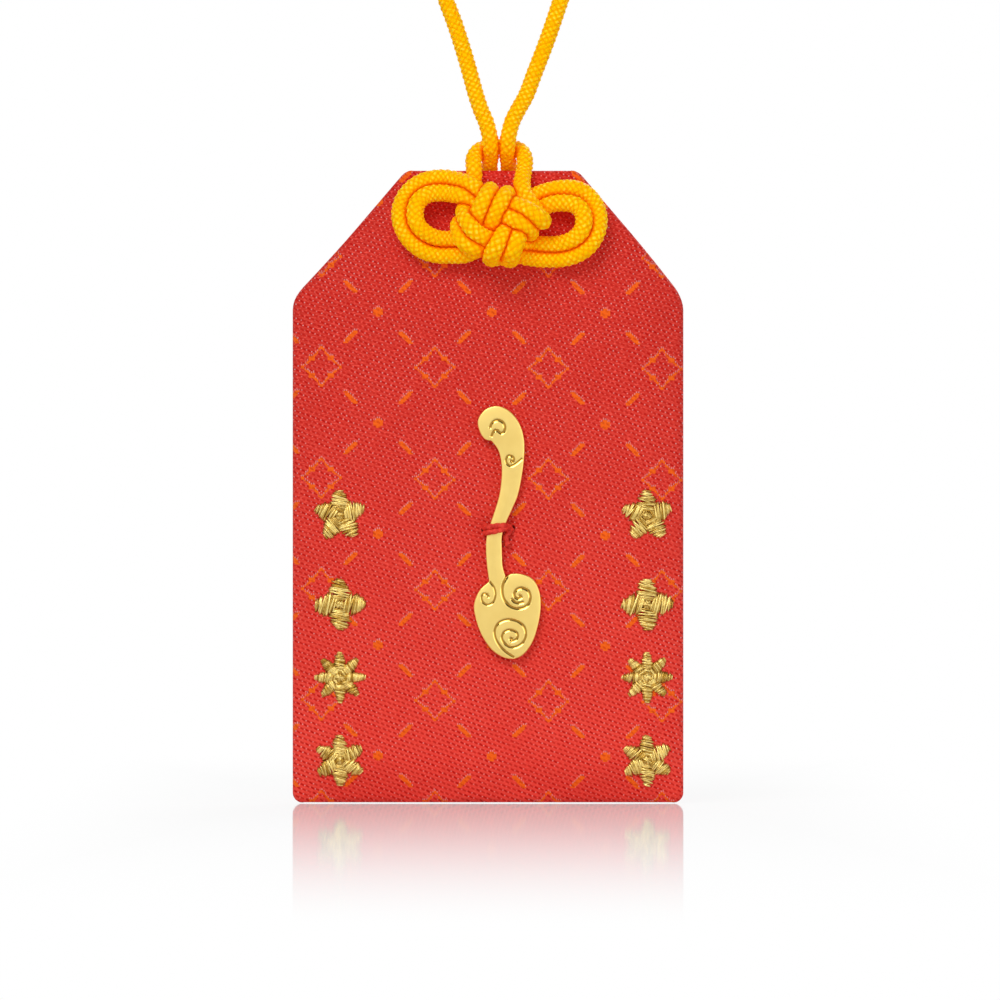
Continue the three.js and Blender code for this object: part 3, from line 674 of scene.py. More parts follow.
def fibre_finish(name, plain, fuzz, dark, light, strength, depth, tones=None):
    """Fibres in two tones. The tones, where given, are the start and end of the change between them."""
    material, tree, shader = new_material(name, plain)
    fibres = place_group(tree, thread_fuzz, fuzz)
    share = ramp(fibres["Tone"], *tones) if tones else fibres["Tone"]
    connect(mix(share, dark, light), shader.inputs["Base Color"])
    add_bump(shader, fibres["Relief"], strength, depth)
    return material


print("group", thread_fuzz.name)

# %% [markdown]
# ## Finish of the cord
# The cord is dyed rayon, bright yellow. Its colour holds painted light: the gaps between the braid's
# pads are painted darker orange as shade, some pads get a painted pale glint, and painted deep orange shade
# lies where two turns meet. Such bright dyes glow a little, and light goes through the fibres and bounces
# from yellow to yellow, so the shaded sides turn orange instead of dull. Subsurface scattering and a faint
# orange emission, a painted glow that is stronger in the crevices, stand in for that. The relief and the
# crevices that shaped the mesh are kept on its points, so the same numbers can colour it.


# %% The cord's material
def cord_finish():
    plain = {
        "Roughness": 0.4,
        "Specular IOR Level": 0.08,
        "Specular Tint": colour(255, 222, 90),
        "Subsurface Weight": 0.5,
        "Subsurface Radius": (1.0, 0.45, 0.03),
        "Subsurface Scale": 0.6 * MM,
        "Sheen Weight": 0.15,
        "Sheen Roughness": 0.4,
        "Sheen Tint": colour(255, 170, 0),
        "Emission Strength": 1.0,
    }
    material, tree, shader = new_material("yellow_braid", plain)
    height = kept_number(tree, "relief")
    crevice_shade = kept_number(tree, "crevice_shade")
    fuzz = place_group(tree, thread_fuzz, {"Grain": 0.1, "Drift": 1.6})
    # Painted shade: the gaps between the pads are coloured darker orange than the pads' tops.
    pads = mix(ramp(height, 0.0, 0.7), colour(249, 164, 0), colour(255, 208, 3))
    pads = mix(ramp(fuzz["Tone"], 0.6, 0.35) * 0.35, pads, colour(250, 184, 0))
    # A painted highlight: the tops of some pads are coloured as a pale glint.
    glint = ramp(height, 0.65, 0.95) * ramp(fuzz["Tone"], 0.4, 0.7)
    pads = mix(glint, pads, colour(255, 226, 70))
    # Painted shade: deep orange where another turn of cord lies close.
    pads = mix(ramp(crevice_shade, 0.12, 0.6), pads, colour(244, 136, 0))
    deep_shade = ramp(crevice_shade, 0.42, 0.88)
    connect(mix(deep_shade, pads, colour(206, 88, 0)), shader.inputs["Base Color"])
    # A painted glow: orange emission, brighter in the crevices, stands in for light bounced between fibres.
    connect(mix(deep_shade, colour(112, 50, 0), colour(134, 56, 0)), shader.inputs["Emission Color"])
    add_bump(shader, fuzz["Relief"], 0.35, 0.05 * MM)
    return material


yellow_braid = cord_finish()
for piece in (knot, loop):
    piece.data.materials.append(yellow_braid)
print("finished", knot.name, "and", loop.name)

# %% [markdown]
# ## Brocade cloth
# The pouch's two panels are crowned sheets of cloth with a rolled edge. A cloth simulation could puff them,
# but the card inside keeps this pouch flat, so the shape is worked out directly: the crown, a round edge, a
# little unevenness, puckers along the seam, and dimples where the charm's thread goes through.

# %% The two panels
PANEL_COLUMNS = 121
PANEL_ROWS = 181
EDGE_ROLL = 0.8 * MM
RIM_HALF = 0.03 * MM
SEAM_TUCK = 0.2 * MM  # the rims turn in at the seam and leave a fine groove
SEAM_TUCK_REACH = 0.04 * MM
TIE_X = 0.9 * MM
TIE_HEIGHT = 34.6 * MM
TIE_HALF_WIDTH = 1.75 * MM
FRONT_SEED = 4
BACK_SEED = 9
UNEVEN = 0.05 * MM
UNEVEN_SPACING = 17 * MM
UNEVEN_MARGIN = 7 * MM
PUCKER = 0.1 * MM
PUCKER_SPACING = 5 * MM
PUCKER_MARGIN = 1 * MM
PUCKER_REACH = 2.2 * MM  # in from the edge
HOLE_PULL = 0.4 * MM
HOLE_REACH = 1.2 * MM
CREASES = 4  # round each hole of the thread
CREASE_PULL = 0.14 * MM
CREASE_START = 1.5 * MM
CREASE_REACH = 2.4 * MM


def edge_gap(x, height):
    """Distance to the nearest edge of the pouch."""
    beside = half_width(height) - np.abs(x - middle(height))
    return np.minimum(beside, np.minimum(height, HEIGHT - height)).clip(0)


def panel_half(x, height, seed):
    """Outer half thickness of the pouch with the cloth's small unevenness."""
    edge = edge_gap(x, height)
    roll = np.sqrt(1 - (1 - np.clip(edge / EDGE_ROLL, 0, 1)) ** 2)
    crown = half_depth(x, height) - EDGE_HALF
    uneven = UNEVEN * waves(x, height, UNEVEN_SPACING, seed) * rise(edge, UNEVEN_MARGIN)
    pucker = PUCKER * waves(x, height, PUCKER_SPACING, seed + 1)
    pucker = pucker * np.exp(-edge / PUCKER_REACH) * rise(edge, PUCKER_MARGIN)
    return np.maximum(EDGE_HALF * roll, RIM_HALF) + crown + uneven + pucker


def tie_dimples(x, height):
    """How far the thread pulls the front cloth in, round its two holes."""
    pull = np.zeros_like(x)
    for side in (-1, 1):
        dx, dz = x - TIE_X - side * TIE_HALF_WIDTH, height - TIE_HEIGHT
        far = np.hypot(dx, dz)
        creases = 1 + 0.5 * np.cos(CREASES * np.arctan2(dz, dx)) * rise(far, CREASE_START)
        dent = HOLE_PULL * np.exp(-((far / HOLE_REACH) ** 2))
        pull += dent + CREASE_PULL * creases * np.exp(-far / CREASE_REACH)
    return pull


def cloth_panel(name, side):
    """side is -1 for the front panel and 1 for the back one."""
    rows = HEIGHT * close_at_ends(PANEL_ROWS)
    across = np.sin(np.linspace(-math.pi / 2, math.pi / 2, PANEL_COLUMNS))
    height = np.repeat(rows[:, None], PANEL_COLUMNS, axis=1)
    x = middle(height) + across * half_width(height)
    outer = panel_half(x, height, FRONT_SEED if side < 0 else BACK_SEED)
    edge = edge_gap(x, height)
    tuck = SEAM_TUCK * np.clip(1 - edge / SEAM_TUCK_REACH, 0, 1) ** 2
    if side < 0:
        outer = outer - tie_dimples(x, height)
    inner = np.maximum(outer - CLOTH, RIM_HALF / 2)
    from_middle = x - middle(height)
    x = x - np.sign(from_middle) * tuck * (half_width(height) - np.abs(from_middle) <= edge)
    height = height + tuck * (np.where(height <= edge, 1, 0) - np.where(HEIGHT - height <= edge, 1, 0))
    return side_sheet(name, side, x, height, (outer, inner))


front = cloth_panel("front_cloth", -1)
back = cloth_panel("back_cloth", 1)
print("panels of", len(front.data.polygons), "faces each")

# %% [markdown]
# The cord goes through a slot in both panels. A slot-shaped prism is cut out with a Boolean modifier, and
# the result is kept as the panel's mesh.

# %% The slot for the cord
SLOT_DROP = 5.5 * MM
SLOT_HALF_WIDTH = 2.3 * MM
SLOT_RADIUS = 1.25 * MM
SLOT_SIDES = 32
PRISM_REACH = 8 * MM  # to each side of the middle plane


def slot_prism():
    turn = full_turn(SLOT_SIDES)
    shift = np.sign(np.cos(turn)) * (SLOT_HALF_WIDTH - SLOT_RADIUS)
    x = KNOT_X + shift + SLOT_RADIUS * np.cos(turn)
    z = POUCH_TOP - SLOT_DROP + SLOT_RADIUS * np.sin(turn)
    depths = (MID_PLANE + PRISM_REACH, MID_PLANE - PRISM_REACH)
    ends = [np.stack([x, np.full(SLOT_SIDES, y), z], axis=1) for y in depths]
    return new_piece("slot_prism", np.stack(ends), tube_faces(2, SLOT_SIDES))


def cut_away(piece, tool):
    modifier = piece.modifiers.new("slot", "BOOLEAN")
    modifier.object = tool
    cut = bpy.data.meshes.new_from_object(piece.evaluated_get(bpy.context.evaluated_depsgraph_get()))
    piece.modifiers.clear()
    piece.data = cut


prism = slot_prism()
for panel in (front, back):
    cut_away(panel, prism)
bpy.data.objects.remove(prism)
print("front panel", len(front.data.polygons), "faces after the cut")

# %% [markdown]
# ## Pattern of the brocade
# The cloth is a red twill with tiny pale dots, dark slanted strokes between them and bits of lighter weft.
# On it is an orange figure that repeats: stepped diamonds, small hexagons between them, and dashes that
# point at the hexagons. Both are worked out from the place on the cloth. Weaving can only step from thread
# to thread, so the coordinates of the diamonds and dashes are rounded to that step.

# %% Groups for the ground and the figure
DOT_STEPS = np.array([[0.655, -0.228], [-0.432, -0.442]])  # the dots repeat by these two steps, in mm
STROKE_SLANT = math.radians(-33)
WEFT_RATES = {"Across": 2.2, "Up": 6.5}  # changes per mm


def make_ground():
    outputs = ["Stroke", "Dot", "Light", "Relief"]
    group, at, out = new_group("twill_ground", {"Across": 0, "Up": 0}, outputs)
    inverse = np.linalg.inv(DOT_STEPS.T)

    def weighed(first, second, a, b):
        return first * float(a) + second * float(b)

    def repeat(shift):
        """Place in the nearest repeat, in mm, and the repeat's own number from 0 to 1."""
        phases = [weighed(at["Across"], at["Up"], *row) for row in inverse]
        phases[0] = phases[0] + shift
        cells = [maths("FLOOR", phase) for phase in phases]
        cell = add(group, "ShaderNodeCombineXYZ", dict(enumerate(cells))).outputs[0]
        lot = add(group, "ShaderNodeTexWhiteNoise", {"Vector": cell}, noise_dimensions="3D")
        shares = [maths("FRACT", phase) - 0.5 for phase in phases]
        return [weighed(*shares, *parts) for parts in DOT_STEPS.T], Number(lot.outputs["Value"])

    # A pale dot in each repeat, and a dark slanted stroke half way to the next dot. No two are quite alike.
    sides, chance = repeat(0.0)
    dot = ramp(far_from(*sides), 0.1, 0.045) * chance
    sides, chance = repeat(0.5)
    lengthwise = abs(weighed(*sides, math.cos(STROKE_SLANT), math.sin(STROKE_SLANT)))
    aside = abs(weighed(*sides, -math.sin(STROKE_SLANT), math.cos(STROKE_SLANT)))
    stroke = ramp(aside, 0.17, 0.05) * ramp(lengthwise, 0.36, 0.12) * (chance * 0.45 + 0.6)
    # The weft shows as short level bits of lighter thread.
    level = [at[key] * rate for key, rate in WEFT_RATES.items()]
    place = add(group, "ShaderNodeCombineXYZ", dict(enumerate(level))).outputs[0]
    light = ramp(noise(place, 1.0, 1.0), 0.48, 0.68) * maths("SUBTRACT", 1.0, stroke, clamp=True)
    high = light * 0.4 + dot * 0.6 - stroke
    for key, value in zip(outputs, (stroke, dot, light, high)):
        connect(value, out.inputs[key])
    return group


# Sizes of the figure in mm, across and up.
FIGURE_REPEAT = (14.35, 14.02)
DIAMOND_HALF = (2.58, 2.68)
DIAMOND_SLOPE = 1.25
LINE_INSET = (0.1, 0.16)
LINE_HALF = (0.17, 0.2)
BLOCK_PLACE = (1.16, 1.09)
BLOCK_HALF = (0.36, 0.3)
HEXAGON_WIDE = (0.61, 0.36)
HEXAGON_TALL = (0.29, 0.6)
DASH_PLACE = (3.5, 3.25)
DASH_POINT = 1.2  # more makes its ends sharper
DASH_LENGTH = 1.66
DASH_WIDTH = 0.36


def make_figure():
    group, at, out = new_group("brocade_figure", {"Across": 0, "Up": 0, "Step": 0.2}, ["Mask"])

    def from_centre(key, size, shift):
        """Distance to the nearest centre of a motif."""
        return abs((maths("FRACT", at[key] / size + (shift + 0.5)) - 0.5) * size)

    def in_threads(far):
        """The distance rounded to whole threads."""
        return (maths("FLOOR", far / at["Step"]) + 0.5) * at["Step"]

    repeats = tuple(zip(("Across", "Up"), FIGURE_REPEAT))
    across, up = (in_threads(from_centre(*repeat, 0.0)) for repeat in repeats)
    high_side = abs(across * DIAMOND_SLOPE + up - (DIAMOND_HALF[1] - LINE_INSET[1]))
    low_side = abs(up * DIAMOND_SLOPE + across - (DIAMOND_HALF[0] - LINE_INSET[0]))
    high_line = (high_side < LINE_HALF[1]) * (up > BLOCK_PLACE[1])
    low_line = (low_side < LINE_HALF[0]) * (up < BLOCK_PLACE[1])
    block = (abs(across - BLOCK_PLACE[0]) < BLOCK_HALF[0]) * (abs(up - BLOCK_PLACE[1]) < BLOCK_HALF[1])
    across, up = (from_centre(*repeat, 0.5) for repeat in repeats)
    wide, tall = ((across < half[0]) * (up < half[1]) for half in (HEXAGON_WIDE, HEXAGON_TALL))
    aside, higher = (in_threads(far) - place for far, place in zip((across, up), DASH_PLACE))
    lengthwise, sideways = abs(aside + higher), abs(aside - higher)
    dash = (sideways * DASH_POINT + lengthwise < DASH_LENGTH) * (sideways < DASH_WIDTH)
    connect(greatest(high_line, low_line, block, wide, tall, dash), out.inputs["Mask"])
    return group


twill_ground = make_ground()
brocade_figure = make_figure()
print("groups", twill_ground.name, "and", brocade_figure.name)

# %% [markdown]
# Both panels were cut from one cloth, so they share the groups. They differ in where the pattern starts,
# and the front one has painted shade in the thread's two holes. On both, the red is painted darker towards
# the top as shade, and the pale dots are painted brighter there as a highlight.

# %% The brocade material
# A diamond's centre on each panel seen from outside, in mm from the middle and above the bottom edge.
FIGURE_START = (-21.06, 55.11)
BACK_FIGURE_START = (3.2, 49.0)
FIGURE_TILT = 0.0066
SPECK_SHIFT = 0.2  # mm, pale specks show this far above the figure
SPECK_STEP = 0.26
CLOTH_DRIFT = 0.5  # mm, the threads wander by a share of this
# Painted shade: dark spots where the tie thread goes into the front cloth.
TIE_HOLE_SHADES = (  # place and radius in mm
    (TIE_X / MM + 2.2, TIE_HEIGHT / MM + 0.2, 0.45),
    (TIE_X / MM - 1.5, TIE_HEIGHT / MM - 0.12, 0.34),
)


def brocade_finish(name, start, flip, holes=()):
    plain = {"Roughness": 0.55, "Specular IOR Level": 0.22, "Specular Tint": colour(255, 170, 150)}
    material, tree, shader = new_material(name, plain)
    _, place = object_place(tree)
    fuzz = place_group(tree, thread_fuzz, {"Grain": 0.15, "Drift": 9.0})
    across = place["X"] * flip - start[0]
    up = place["Z"] - (POUCH_BASE / MM + start[1]) + across * FIGURE_TILT
    up = up + (fuzz["Tone"] - 0.5) * CLOTH_DRIFT
    ground = place_group(tree, twill_ground, {"Across": across, "Up": up})
    figure = place_group(tree, brocade_figure, {"Across": across, "Up": up})["Mask"]
    shifted = place_group(tree, brocade_figure, {"Across": across, "Up": up - SPECK_SHIFT})["Mask"]
    upper_edge = maths("SUBTRACT", shifted, figure, clamp=True)
    tone = ramp(fuzz["Tone"], 0.3, 0.7)
    near_top = ramp(place["Z"], POUCH_BASE / MM, POUCH_TOP / MM)
    faded = mix(tone, colour(238, 64, 54), colour(246, 72, 60))
    # Painted shade: the red is coloured darker towards the top of the pouch.
    red = mix(near_top, faded, colour(210, 49, 40))
    red = mix(ground["Light"], red, colour(248, 84, 72))
    shaded = mix(ground["Stroke"], red, colour(198, 14, 9))
    # The pale dots are woven in, and their strength varies at random; they are painted stronger towards the
    # top as a highlight.
    shine = maths("ADD", near_top * 0.35, tone * 0.3 + 0.45, clamp=True)
    dotted = mix(ground["Dot"] * shine, shaded, colour(222, 186, 188))
    orange = mix(fuzz["Relief"], colour(250, 88, 14), colour(255, 118, 30))
    orange = mix(ground["Stroke"] * 0.6, orange, colour(206, 48, 8))
    figured = mix(figure, dotted, orange)
    beads = maths("FRACT", across / SPECK_STEP) < 0.5
    cloth = mix(upper_edge * (beads * 0.4), figured, colour(236, 200, 196))
    # Painted shade: each hole of the thread is coloured dark.
    for x, height, size in holes:
        far = far_from(place["X"] - x, place["Z"] - (POUCH_BASE / MM + height))
        cloth = mix(ramp(far, size, 0.5 * size), cloth, colour(74, 4, 3))
    connect(cloth, shader.inputs["Base Color"])
    add_bump(shader, figure * 0.8 + ground["Relief"] + fuzz["Relief"] * 0.5, 0.5, 0.06 * MM)
    return material


front.data.materials.clear()
back.data.materials.clear()
front.data.materials.append(brocade_finish("front_brocade", FIGURE_START, 1, TIE_HOLE_SHADES))
back.data.materials.append(brocade_finish("back_brocade", BACK_FIGURE_START, -1))
for panel, node in ((front, "front_panel"), (back, "back_panel")):
    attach(panel, "pouch")
    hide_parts(node)
print("brocade on", front.name, "and", back.name)

# %% [markdown]
# ## The gold charm
# A stamped sceptre with a curled top and a cloud-shaped head. Its outline is a list of given points, in
# millimetres from the place where it is tied. A fine square grid is laid over it, the squares inside are
# kept, and the grid's border is moved onto the outline. Each point can then be pushed in where a groove
# runs, which a bump map could not show at the edges.

# %% Outline of the charm
STEM_LEFT = [
    (-0.4, 11.2), (0.4, 10.1), (0.8, 8.7), (0.9, 7.1), (0.6, 4.4), (0, 2.3), (-0.6, 0.5), (-1, -0.9),
    (-1.1, -2.3), (-1, -4.3), (-0.7, -6.6),
]
HEAD_EDGE = [
    (-1.9, -7.7), (-2.6, -9.5), (-2.4, -11.2), (-1.5, -13.6), (0, -15.5), (1.8, -16.3), (3.2, -16),
    (4.5, -14.5), (5.3, -12.3), (5.7, -9.7), (5.5, -7.8), (4.7, -6.3), (3.3, -5.7), (2, -5.7), (1.3, -6.1),
]
STEM_RIGHT = [
    (0.9, -4.7), (0.8, -2.7), (0.8, -0.9), (1.3, 0.8), (2.1, 2.6), (2.8, 4.3), (3.3, 6.7), (3.6, 9.1),
    (3.6, 11.1), (3.2, 12.9), (2.3, 14.4), (1.1, 15.3), (0, 15.5), (-1.3, 15), (-2.1, 13.8), (-1.9, 12.4),
    (-1.2, 11.4), (-0.4, 11.2),
]
OUTLINE_STEP = 0.05


def flat_path(points, spacing):
    """A smooth path through points of a plane."""
    return smooth_path([(x, 0, z) for x, z in points], spacing)[:, [0, 2]]


OUTLINE_GROW = 0.08  # mm, the points lie this far inside the plate's worn edge
charm_outline = np.vstack([
    flat_path(edge, OUTLINE_STEP)[:-1]
    for edge in (STEM_LEFT, STEM_LEFT[-1:] + HEAD_EDGE, HEAD_EDGE[-1:] + STEM_RIGHT)
])
ahead = np.roll(charm_outline, -2, axis=0) - np.roll(charm_outline, 2, axis=0)
outward = np.stack([-ahead[:, 1], ahead[:, 0]], axis=1) / np.linalg.norm(ahead, axis=1)[:, None]
charm_outline = charm_outline - OUTLINE_GROW * outward
print("charm outline of", len(charm_outline), "points")

# %% Grooves of the charm
LEFT_CURL = [
    (-0.62, -6.63), (-0.06, -7.33), (0.11, -8.17), (-0.06, -9.02), (-0.55, -9.5), (-1.04, -9.57),
    (-1.53, -9.3), (-1.77, -8.73), (-1.67, -8.24), (-1.32, -8.03), (-0.93, -8.2),
]
RIGHT_CURL = [
    (1.49, -6), (0.99, -6.77), (0.83, -7.76), (1.07, -8.87), (1.77, -9.72), (2.89, -10.1), (3.88, -9.86),
    (4.43, -9.16), (4.51, -8.31), (4.16, -7.61), (3.45, -7.33), (2.75, -7.5), (2.36, -8.03), (2.44, -8.59),
    (2.97, -8.85), (3.31, -8.53),
]
INNER_ARC = [(2.15, -8.85), (2.45, -9.2), (2.95, -9.35), (3.5, -9.2)]
LOWER_CURL = [
    (2.33, -16.1), (1.21, -15.4), (0.36, -14.49), (-0.06, -13.5), (-0.1, -12.52), (0.36, -11.82),
    (1.21, -11.4), (2.18, -11.33), (3.17, -11.69), (3.8, -12.38), (3.99, -13.37), (3.6, -14.28),
    (2.75, -14.91), (1.91, -14.91), (1.21, -14.49), (0.78, -13.79), (0.92, -13.09), (1.49, -12.7),
    (2.18, -12.66), (2.75, -12.95), (2.97, -13.5), (2.61, -14), (2.05, -14.14),
]
TOP_CURL = [
    (-0.62, 12.88), (-0.47, 13.4), (-0.07, 13.74), (0.5, 13.84), (1.02, 13.57), (1.31, 13), (1.19, 12.37),
    (0.79, 12.02), (0.44, 12.37), (0.1, 12.6), (-0.25, 12.37), (-0.45, 11.79),
]
STEM_CURL = [
    (3.32, 8.86), (2.91, 8.52), (2.51, 8.2), (2, 7.91), (1.54, 8.17), (1.31, 8.69), (1.48, 9.18),
    (1.88, 9.38), (2.32, 9.15), (2.43, 8.75), (2.17, 8.46),
]
CURLS = [  # each stroke and half its width
    (LEFT_CURL, 0.23), (RIGHT_CURL, 0.31), (INNER_ARC, 0.3), (LOWER_CURL, 0.27), (TOP_CURL, 0.3),
    (STEM_CURL, 0.27),
]
CURL_EYES = [  # place and radius of the pits where the strokes end
    (-0.88, -8.45, 0.32), (3.15, -8.4, 0.4), (2.05, -13.85, 0.46), (0.35, 12.45, 0.36), (2.02, 8.65, 0.32),
]
GROOVE_STEP = 0.02


def eased(points):
    """The points with each inner one drawn a little towards its neighbours, as a smooth stroke would go."""
    points = np.array(points)
    points[1:-1] = (points[:-2] + 4 * points[1:-1] + points[2:]) / 6
    return points


def nearest(points, targets):
    """Distance from each point to the nearest target, and which target that is."""
    tree = KDTree(len(targets))
    for k, target in enumerate(targets):
        tree.insert((*target, 0), k)
    tree.balance()
    found = [tree.find((*point, 0)) for point in points]
    return np.array([hit[2] for hit in found]), np.array([hit[1] for hit in found])


curl_paths = [flat_path(eased(curl), GROOVE_STEP) for curl, _ in CURLS]
charm_grooves = np.vstack(curl_paths)
groove_half = np.concatenate([np.full(len(path), half) for path, (_, half) in zip(curl_paths, CURLS)])
print("grooves of", len(charm_grooves), "points")

# %% Mesh of the charm
CHARM_GRID = 0.054
CHARM_ROUND = 0.14  # mm, radius of the worn edge
BACK_ROUND = 0.6  # the back edge's rounding over the front's
CHARM_DOME = 0.16
DOME_REACH = 0.9
# How far in from the rim the painted edge highlight reaches, in mm.
EDGE_HIGHLIGHT_REACH = 0.2
CHARM_SINK = 0.2 * MM  # the thread pulls the charm this much nearer to the cloth than its solid
GROOVE_SLOPE = 0.38  # depth of a groove over half its width
charm_low, charm_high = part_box("sceptre_charm")
charm_front = charm_low.y + CHARM_SINK
charm_back = charm_high.y + CHARM_SINK


def inside_outline(points, outline):
    """True where a line going right from the point crosses the outline an odd number of times."""
    ahead = np.roll(outline, -1, axis=0)
    crossings = np.zeros(len(points), int)
    for (x0, z0), (x1, z1) in zip(outline, ahead):
        if z0 != z1:
            spans = (points[:, 1] < z0) != (points[:, 1] < z1)
            crossings += spans & (points[:, 0] < x0 + (points[:, 1] - z0) * (x1 - x0) / (z1 - z0))
    return crossings % 2 == 1


def hollow(share):
    """Depth across a rounded groove: 1 in its middle, 0 from its border on."""
    return 0.5 + 0.5 * np.cos(math.pi * np.clip(share, 0, 1))


def charm_mesh():
    low, high = charm_outline.min(axis=0) - CHARM_GRID, charm_outline.max(axis=0) + CHARM_GRID
    columns, rows = np.ceil((high - low) / CHARM_GRID).astype(int) + 1
    x, z = np.meshgrid(low[0] + CHARM_GRID * np.arange(columns), low[1] + CHARM_GRID * np.arange(rows))
    points = np.stack([x.ravel(), z.ravel()], axis=1)
    squares = np.array(grid_faces(rows, columns))
    squares = squares[inside_outline(points[squares].mean(axis=1), charm_outline)]
    used, squares = np.unique(squares, return_inverse=True)
    squares = squares.reshape(-1, 4)
    points = points[used]
    edges = np.vstack([squares[:, [k, (k + 1) % 4]] for k in range(4)])
    _, where, count = np.unique(np.sort(edges, axis=1), axis=0, return_index=True, return_counts=True)
    border = edges[where[count == 1]]
    rim_gap, rim_at = nearest(points, charm_outline)
    on_border = np.unique(border)
    points[on_border] = charm_outline[rim_at[on_border]]
    rim_gap[on_border] = 0
    groove_gap, groove_at = nearest(points, charm_grooves)
    groove = hollow(groove_gap / groove_half[groove_at])
    depth = groove_half[groove_at] * groove
    for eye_x, eye_z, eye_half in CURL_EYES:
        eye = hollow(np.hypot(points[:, 0] - eye_x, points[:, 1] - eye_z) / eye_half)
        depth = np.maximum(depth, eye_half * eye)
        groove = np.maximum(groove, eye)
    round_off = corner_pull(rim_gap, CHARM_ROUND)
    dome = CHARM_DOME * (1 - np.exp(-rim_gap / DOME_REACH))
    lift = dome - round_off - GROOVE_SLOPE * depth
    x = TIE_X + points[:, 0] * MM
    z = POUCH_BASE + TIE_HEIGHT + points[:, 1] * MM
    front_side = np.stack([x, charm_front - lift * MM, z], axis=1)
    back_side = np.stack([x, charm_back - BACK_ROUND * round_off * MM, z], axis=1)
    total = len(points)
    faces = squares.tolist() + (total + squares[:, ::-1]).tolist()
    faces += [[b, a, total + a, total + b] for a, b in border.tolist()]
    on_front = {"groove": groove, "edge": np.exp(-rim_gap / EDGE_HIGHLIGHT_REACH)}
    attributes = {key: np.concatenate([values, np.zeros(total)]) for key, values in on_front.items()}
    return new_piece("gold_charm", np.vstack([front_side, back_side]), faces, attributes)


charm = charm_mesh()
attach(charm, "charm")
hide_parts("sceptre_charm")
print("charm of", len(charm.data.polygons), "faces")

# %% [markdown]
# ## Finish of the gold
# The plate is gold with a satin face and polished grooves. Its grooves are painted darker as shade, and its
# rounded edge is painted lighter as a highlight. Satin comes from a higher roughness and a very fine grain.
# The rest comes from the numbers for grooves and edge that were kept on the points.


# %% The gold material
def gold_finish():
    material, tree, shader = new_material("satin_gold", {"Metallic": 1.0})
    groove = kept_number(tree, "groove")
    place, _ = object_place(tree)
    plate = mix(noise(place, 0.5, 2.0), colour(232, 198, 110), colour(245, 215, 129))
    # A painted highlight: the plate is coloured lighter near its rounded edge.
    edge_highlight = mix(kept_number(tree, "edge") * 0.6, plate, colour(255, 226, 130))
    # Painted shade: the grooves are coloured a darker brown gold.
    connect(mix(ramp(groove, 0.25, 0.65), edge_highlight, colour(172, 128, 52)), shader.inputs["Base Color"])
    grain = noise(place, 14.0, 3.0)
    polish = ramp(groove, 0.02, 0.25)
    connect((grain * 0.12 + 0.3) * (polish * -0.8 + 1.0), shader.inputs["Roughness"])
    add_bump(shader, grain, 0.12, 0.03 * MM)
    return material


charm.data.materials.append(gold_finish())
print("gold on", charm.name)

# %% [markdown]
# ## Tie thread
# Two turns of red thread go round the charm's stem and through the cloth, and a short end is left over.
# Sewing thread is two yarns twisted together, so its section is a figure of eight that turns on the way.

# %% The tie and its loose end
THREAD = 0.74 * MM
THREAD_TWIST = 0.9 * MM
THREAD_SIDES = 16
THREAD_WAIST = 0.7  # of half its thickness, between the two yarns
THREAD_BULGE = 0.3  # what a yarn adds to the waist
THREAD_STEP = 0.09 * MM


def twisted_thread(paths, name, thickness):
    """One piece, with two-ply thread along each path."""
    points, faces = [], []
    for path in paths:
        angle = full_turn(THREAD_SIDES)
        along = np.linspace(0, length_of(path), len(path))[:, None]
        bulge = np.abs(np.cos(angle - math.pi * along / THREAD_TWIST))
        radii = thickness / 2 * (THREAD_WAIST + THREAD_BULGE * bulge)
        rings = rings_along(path, radii, np.broadcast_to(angle, bulge.shape))
        faces += tube_faces(len(path), THREAD_SIDES, sum(len(part) for part in points))
        points.append(rings.reshape(-1, 3))
    return new_piece(name, np.vstack(points), faces)


TIE_TURNS = [  # sideways and up from the tie's place, as the two turns cross the stem
    [(-1.15, 0.16), (-1.3, 0.16), (-1.3, 0.2), (-0.8, 0.32), (0.15, 0.42), (1.05, 0.46), (1.5, 0.38),
     (1.85, 0.26), (1.8, 0.26)],
    [(-1.1, -0.4), (-1.25, -0.44), (-1.25, -0.46), (-0.8, -0.38), (0.1, -0.24), (1, 0), (1.5, 0.1),
     (1.85, 0.1), (1.8, 0.1)],
]
TIE_BEHIND = 0.25 * MM  # the turns end this far behind the cloth
TIE_DIMPLE = 0.3 * MM  # and go in this far under its face
TIE_RISE = 0.9 * MM  # they come straight up beside the stem
TIE_EDGE_DROP = 0.12 * MM  # and are lower on its edges than on its middle
TIE_SEAT = 0.42  # from the stem to the thread's middle, over the thickness


def tie_points():
    inside = MID_PLANE - MIDDLE_HALF + CLOTH + TIE_BEHIND
    cloth = MID_PLANE - MIDDLE_HALF + TIE_DIMPLE
    over = charm_front - CHARM_DOME * MM - TIE_SEAT * THREAD
    edge = over + TIE_EDGE_DROP
    low = cloth - TIE_RISE
    depths = [inside, cloth, low, edge, over, edge, low, cloth, inside]
    return [
        (TIE_X + x * MM, y, POUCH_BASE + TIE_HEIGHT + up * MM)
        for turn in TIE_TURNS
        for (x, up), y in zip(turn, depths)
    ]


LOOSE_END = [  # sideways, back from the cloth's face, and up
    (2.05, 0.35, 0.05), (1.85, -0.2, -0.2), (1.5, -0.4, -0.6), (1.35, -0.4, -1.2), (1.5, -0.38, -1.75),
    (1.7, -0.38, -2),
]
tie_place = np.array([TIE_X, MID_PLANE - MIDDLE_HALF, POUCH_BASE + TIE_HEIGHT])
strands = (tie_points(), tie_place + np.array(LOOSE_END) * MM)
tie = twisted_thread([smooth_path(strand, THREAD_STEP) for strand in strands], "tie_thread", THREAD)
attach(tie, "pouch")
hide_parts("charm_tie_thread")
print("tie thread of", len(tie.data.polygons), "faces")

